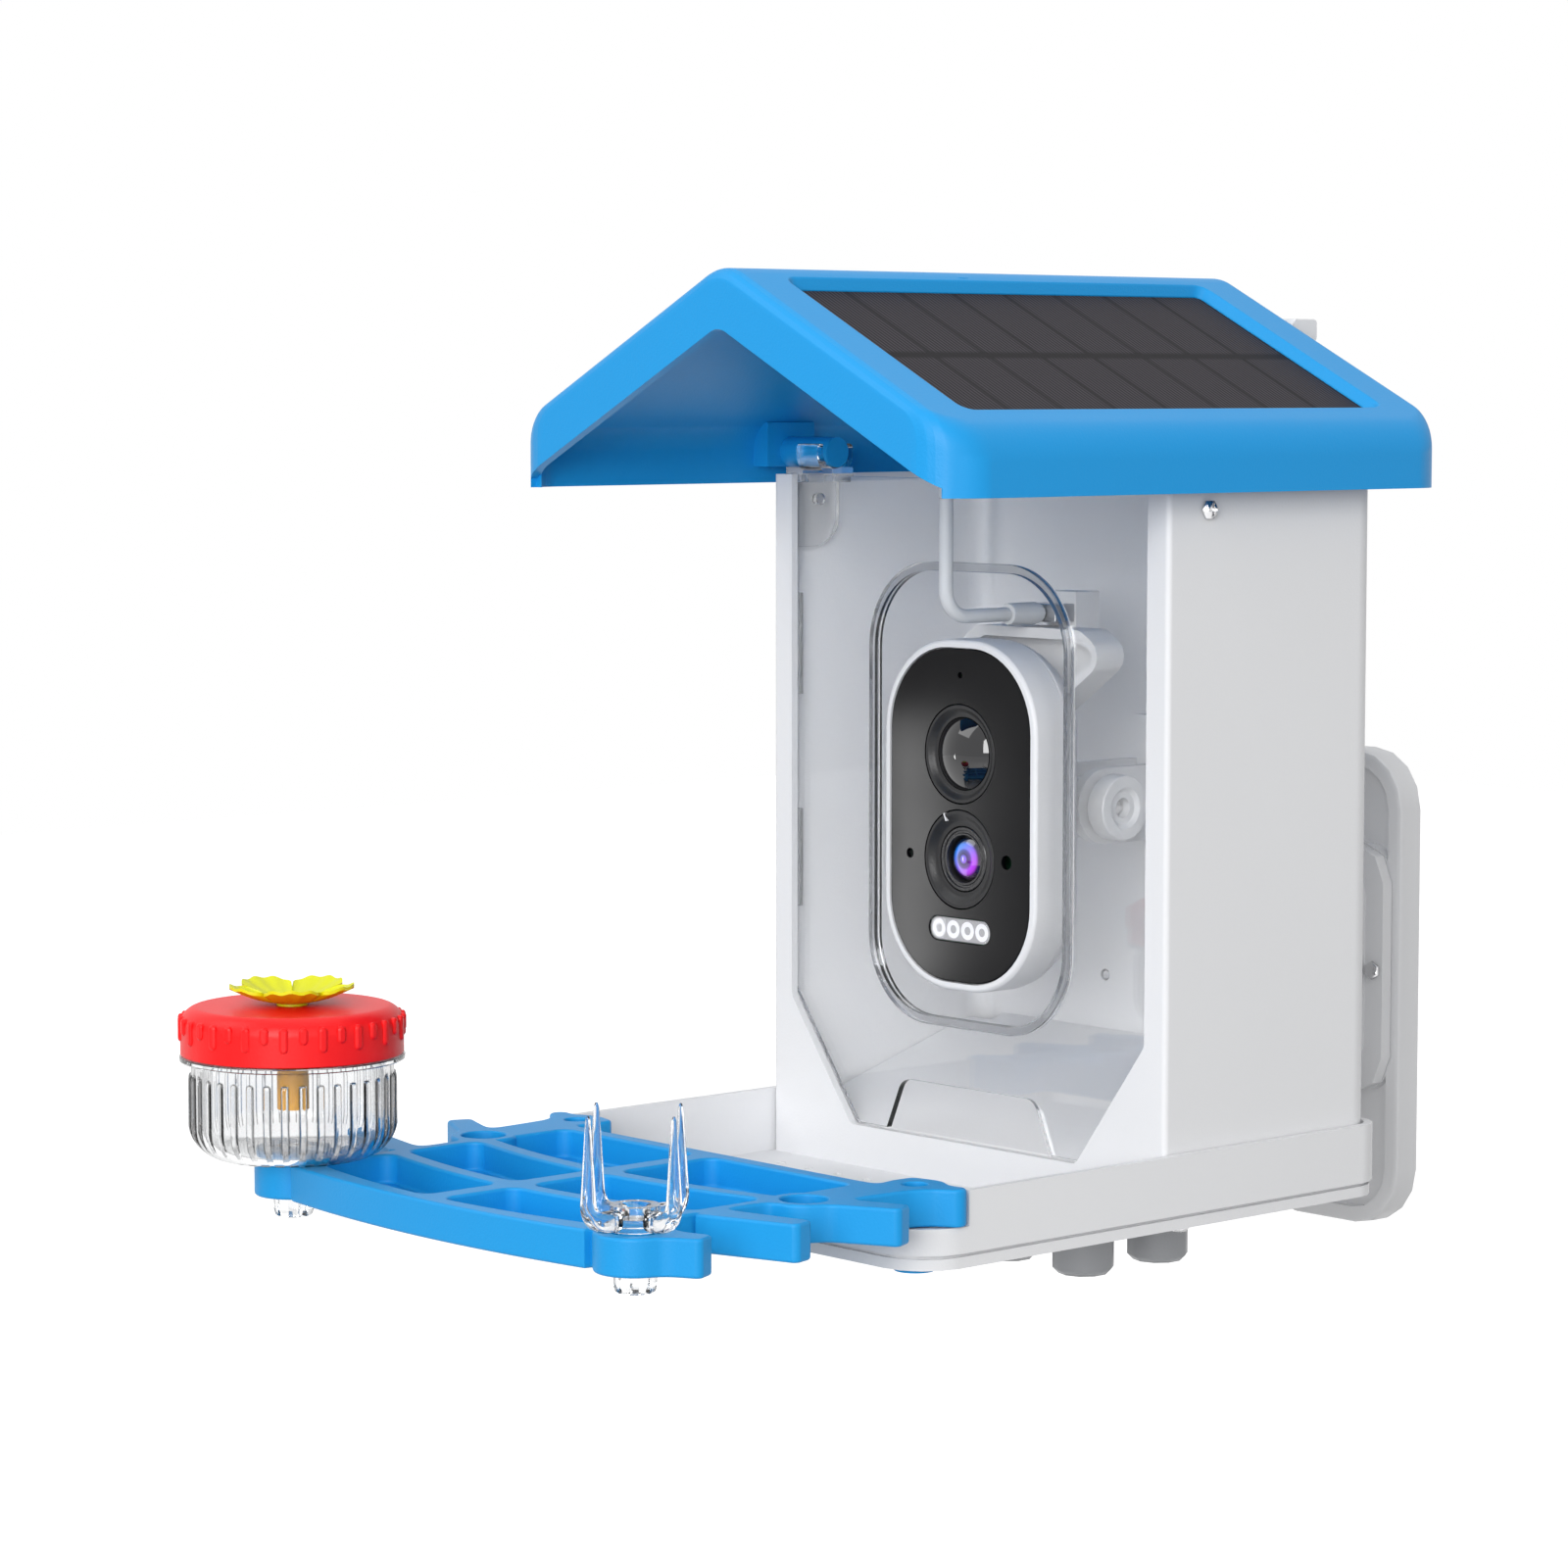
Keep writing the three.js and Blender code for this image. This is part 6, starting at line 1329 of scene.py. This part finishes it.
# Pieces whose frame shape is right, with rounded edges: edge width, bevel steps and sharpest smooth angle
for node, body, material, slot, width, steps, angle in (
        ("seed_ramp", "house", WHITE, "white_plastic", 0.4, 2, 32),
        ("tray_base", "house", WHITE, "white_plastic", 0.4, 2, 32),
        ("mount_arm", "house", WHITE, "white_plastic", 0.6, 3, 32),
        ("wall_plate", "house", WHITE, "white_plastic", 0.6, 3, 40),
        ("pole_flange", "house", GREY, "grey_plastic", 0.5, 2, 50),
        ("bracket_base", "house", WHITE, "white_plastic", 0.4, 2, 40),
        ("tilt_bolt", "house", STEEL, "steel", 0.2, 2, 50),
        ("tilt_nut", "house", STEEL, "steel", 0.2, 2, 50),
        ("camera_yoke", "camera", WHITE, "white_plastic", 0.5, 2, 40),
        ("usb_boot", "camera", PALE, "pale_rubber", 0.3, 2, 50),
        ("usb_plug", "camera", STEEL, "steel", 0.25, 2, 40),
        ("camera_screw", "camera", STEEL, "steel", 0.2, 2, 50),
        ("tilt_knob", "knob", WHITE, "white_plastic", 0.3, 3, 40),
        ("roof_lift_tab", "roof", WHITE, "white_plastic", 0.5, 3, 32),
        ("cable_gland", "roof", PALE, "pale_rubber", 0.3, 2, 50),
        ("jar_seal", "jar", PALE, "pale_rubber", 0.2, 2, 50),
        ("window_screw_right", "house", STEEL, "steel", 0.2, 2, 60),
        ("window_screw_left", "house", STEEL, "steel", 0.2, 2, 60)):
    dressed(node, body, material, width, steps, angle)
SMALL_SCREWS = [f"{place}_screw_{i}" for place in ("tray", "flange") for i in (1, 2, 3, 4)]
SMALL_SCREWS += [f"arm_screw_{place}_{i}" for place in ("house", "plate") for i in (1, 2)]
for node in SMALL_SCREWS:
    dressed(node, "house", STEEL, 0.15, 2, 60)
for node, material in (("camera_board", BOARD), ("battery_cell", GREY)):
    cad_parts[node].data.materials.clear()
    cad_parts[node].data.materials.append(material)


# Studio, in metres
MIDDLE = (0.0, -0.2, 0.04)
STRIP_AIM = (0.0, -0.16, 0.06)
AMBIENT = 0.42
FLOOR_SPAN = 6.0
FLOOR_Z = -0.62
VIEW_LENS = 104.16
VIEW_SENSOR = 36.0
VIEW_PLACE = (0.9216, -1.05491, 0.18388)
VIEW_WAY = (-0.7429, 0.6636, -0.0882)


def lamp(name, place, target, size, power):
    """A soft lamp aimed at a target."""
    data = bpy.data.lights.new(name, "AREA")
    data.shape = "RECTANGLE"
    data.size, data.size_y = size
    data.energy = power
    obj = bpy.data.objects.new(name, data)
    bpy.context.scene.collection.objects.link(obj)
    obj.location = place
    obj.rotation_euler = (Vector(target) - Vector(place)).to_track_quat("-Z", "Y").to_euler()


def seen(tree):
    """1 where the camera sees something itself, mirrored or through clear plastic, and 0 for its light."""
    result = sums(tree)
    path = tree.nodes.new("ShaderNodeLightPath")
    relayed = result("MAXIMUM", path.outputs["Is Glossy Ray"], path.outputs["Is Transmission Ray"])
    shown = result("MAXIMUM", path.outputs["Is Camera Ray"], relayed)
    return result("MULTIPLY", shown, result("LESS_THAN", path.outputs["Diffuse Depth"], 0.5))


def build_world():
    """A white room that lights the object softly."""
    world = bpy.data.worlds.new("studio")
    bpy.context.scene.world = world
    world.use_nodes = True
    tree = world.node_tree
    tree.nodes.clear()
    out = tree.nodes.new("ShaderNodeOutputWorld")
    back = tree.nodes.new("ShaderNodeBackground")
    back.inputs["Color"].default_value = (1, 1, 1, 1)
    tree.links.new(sums(tree)("MULTIPLY_ADD", seen(tree), 1 - AMBIENT, AMBIENT), back.inputs["Strength"])
    tree.links.new(back.outputs["Background"], out.inputs["Surface"])


def build_floor():
    """A pale floor far below, that shows white."""
    mesh = bpy.data.meshes.new("floor")
    corners = [(x, y, FLOOR_Z) for x, y in plain_box(-FLOOR_SPAN, FLOOR_SPAN, -FLOOR_SPAN, FLOOR_SPAN)]
    mesh.from_pydata(corners, [], [(0, 1, 2, 3)])
    floor = bpy.data.objects.new("floor", mesh)
    bpy.context.scene.collection.objects.link(floor)
    paint = bpy.data.materials.new("floor_paint")
    tree, shader = nodes_of(paint)
    shader.inputs["Base Color"].default_value = (AMBIENT, AMBIENT, AMBIENT, 1)
    shader.inputs["Roughness"].default_value = 0.9
    shader.inputs["Specular IOR Level"].default_value = 0.0
    shader.inputs["Emission Color"].default_value = (1, 1, 1, 1)
    tree.links.new(seen(tree), shader.inputs["Emission Strength"])
    mesh.materials.append(paint)


def build_camera_view():
    """The camera at the photograph's place and angle."""
    view = bpy.data.cameras.new("view")
    view.lens = VIEW_LENS
    view.sensor_width = VIEW_SENSOR
    view.sensor_fit = "HORIZONTAL"
    camera = bpy.data.objects.new("view", view)
    bpy.context.scene.collection.objects.link(camera)
    camera.location = VIEW_PLACE
    camera.rotation_euler = Vector(VIEW_WAY).to_track_quat("-Z", "Y").to_euler()
    bpy.context.scene.camera = camera
    bpy.context.scene.view_settings.view_transform = "Standard"


# Each lamp's name, place, target, size and power
for light in (
        ("key", (-0.9, -1.5, 1.5), MIDDLE, (1.2, 1.2), 10),
        ("front", (1.1, -1.92, 0.6), MIDDLE, (1.0, 1.0), 30),
        ("fill", (1.6, -0.9, 0.6), MIDDLE, (1.4, 1.4), 4.5),
        ("top", (0.1, 0.1, 1.9), MIDDLE, (1.6, 1.6), 6),
        ("strip", (-1.43, -1.5, -0.15), STRIP_AIM, (0.045, 0.19), 0.33)):
    lamp(*light)
build_world()
build_floor()
build_camera_view()
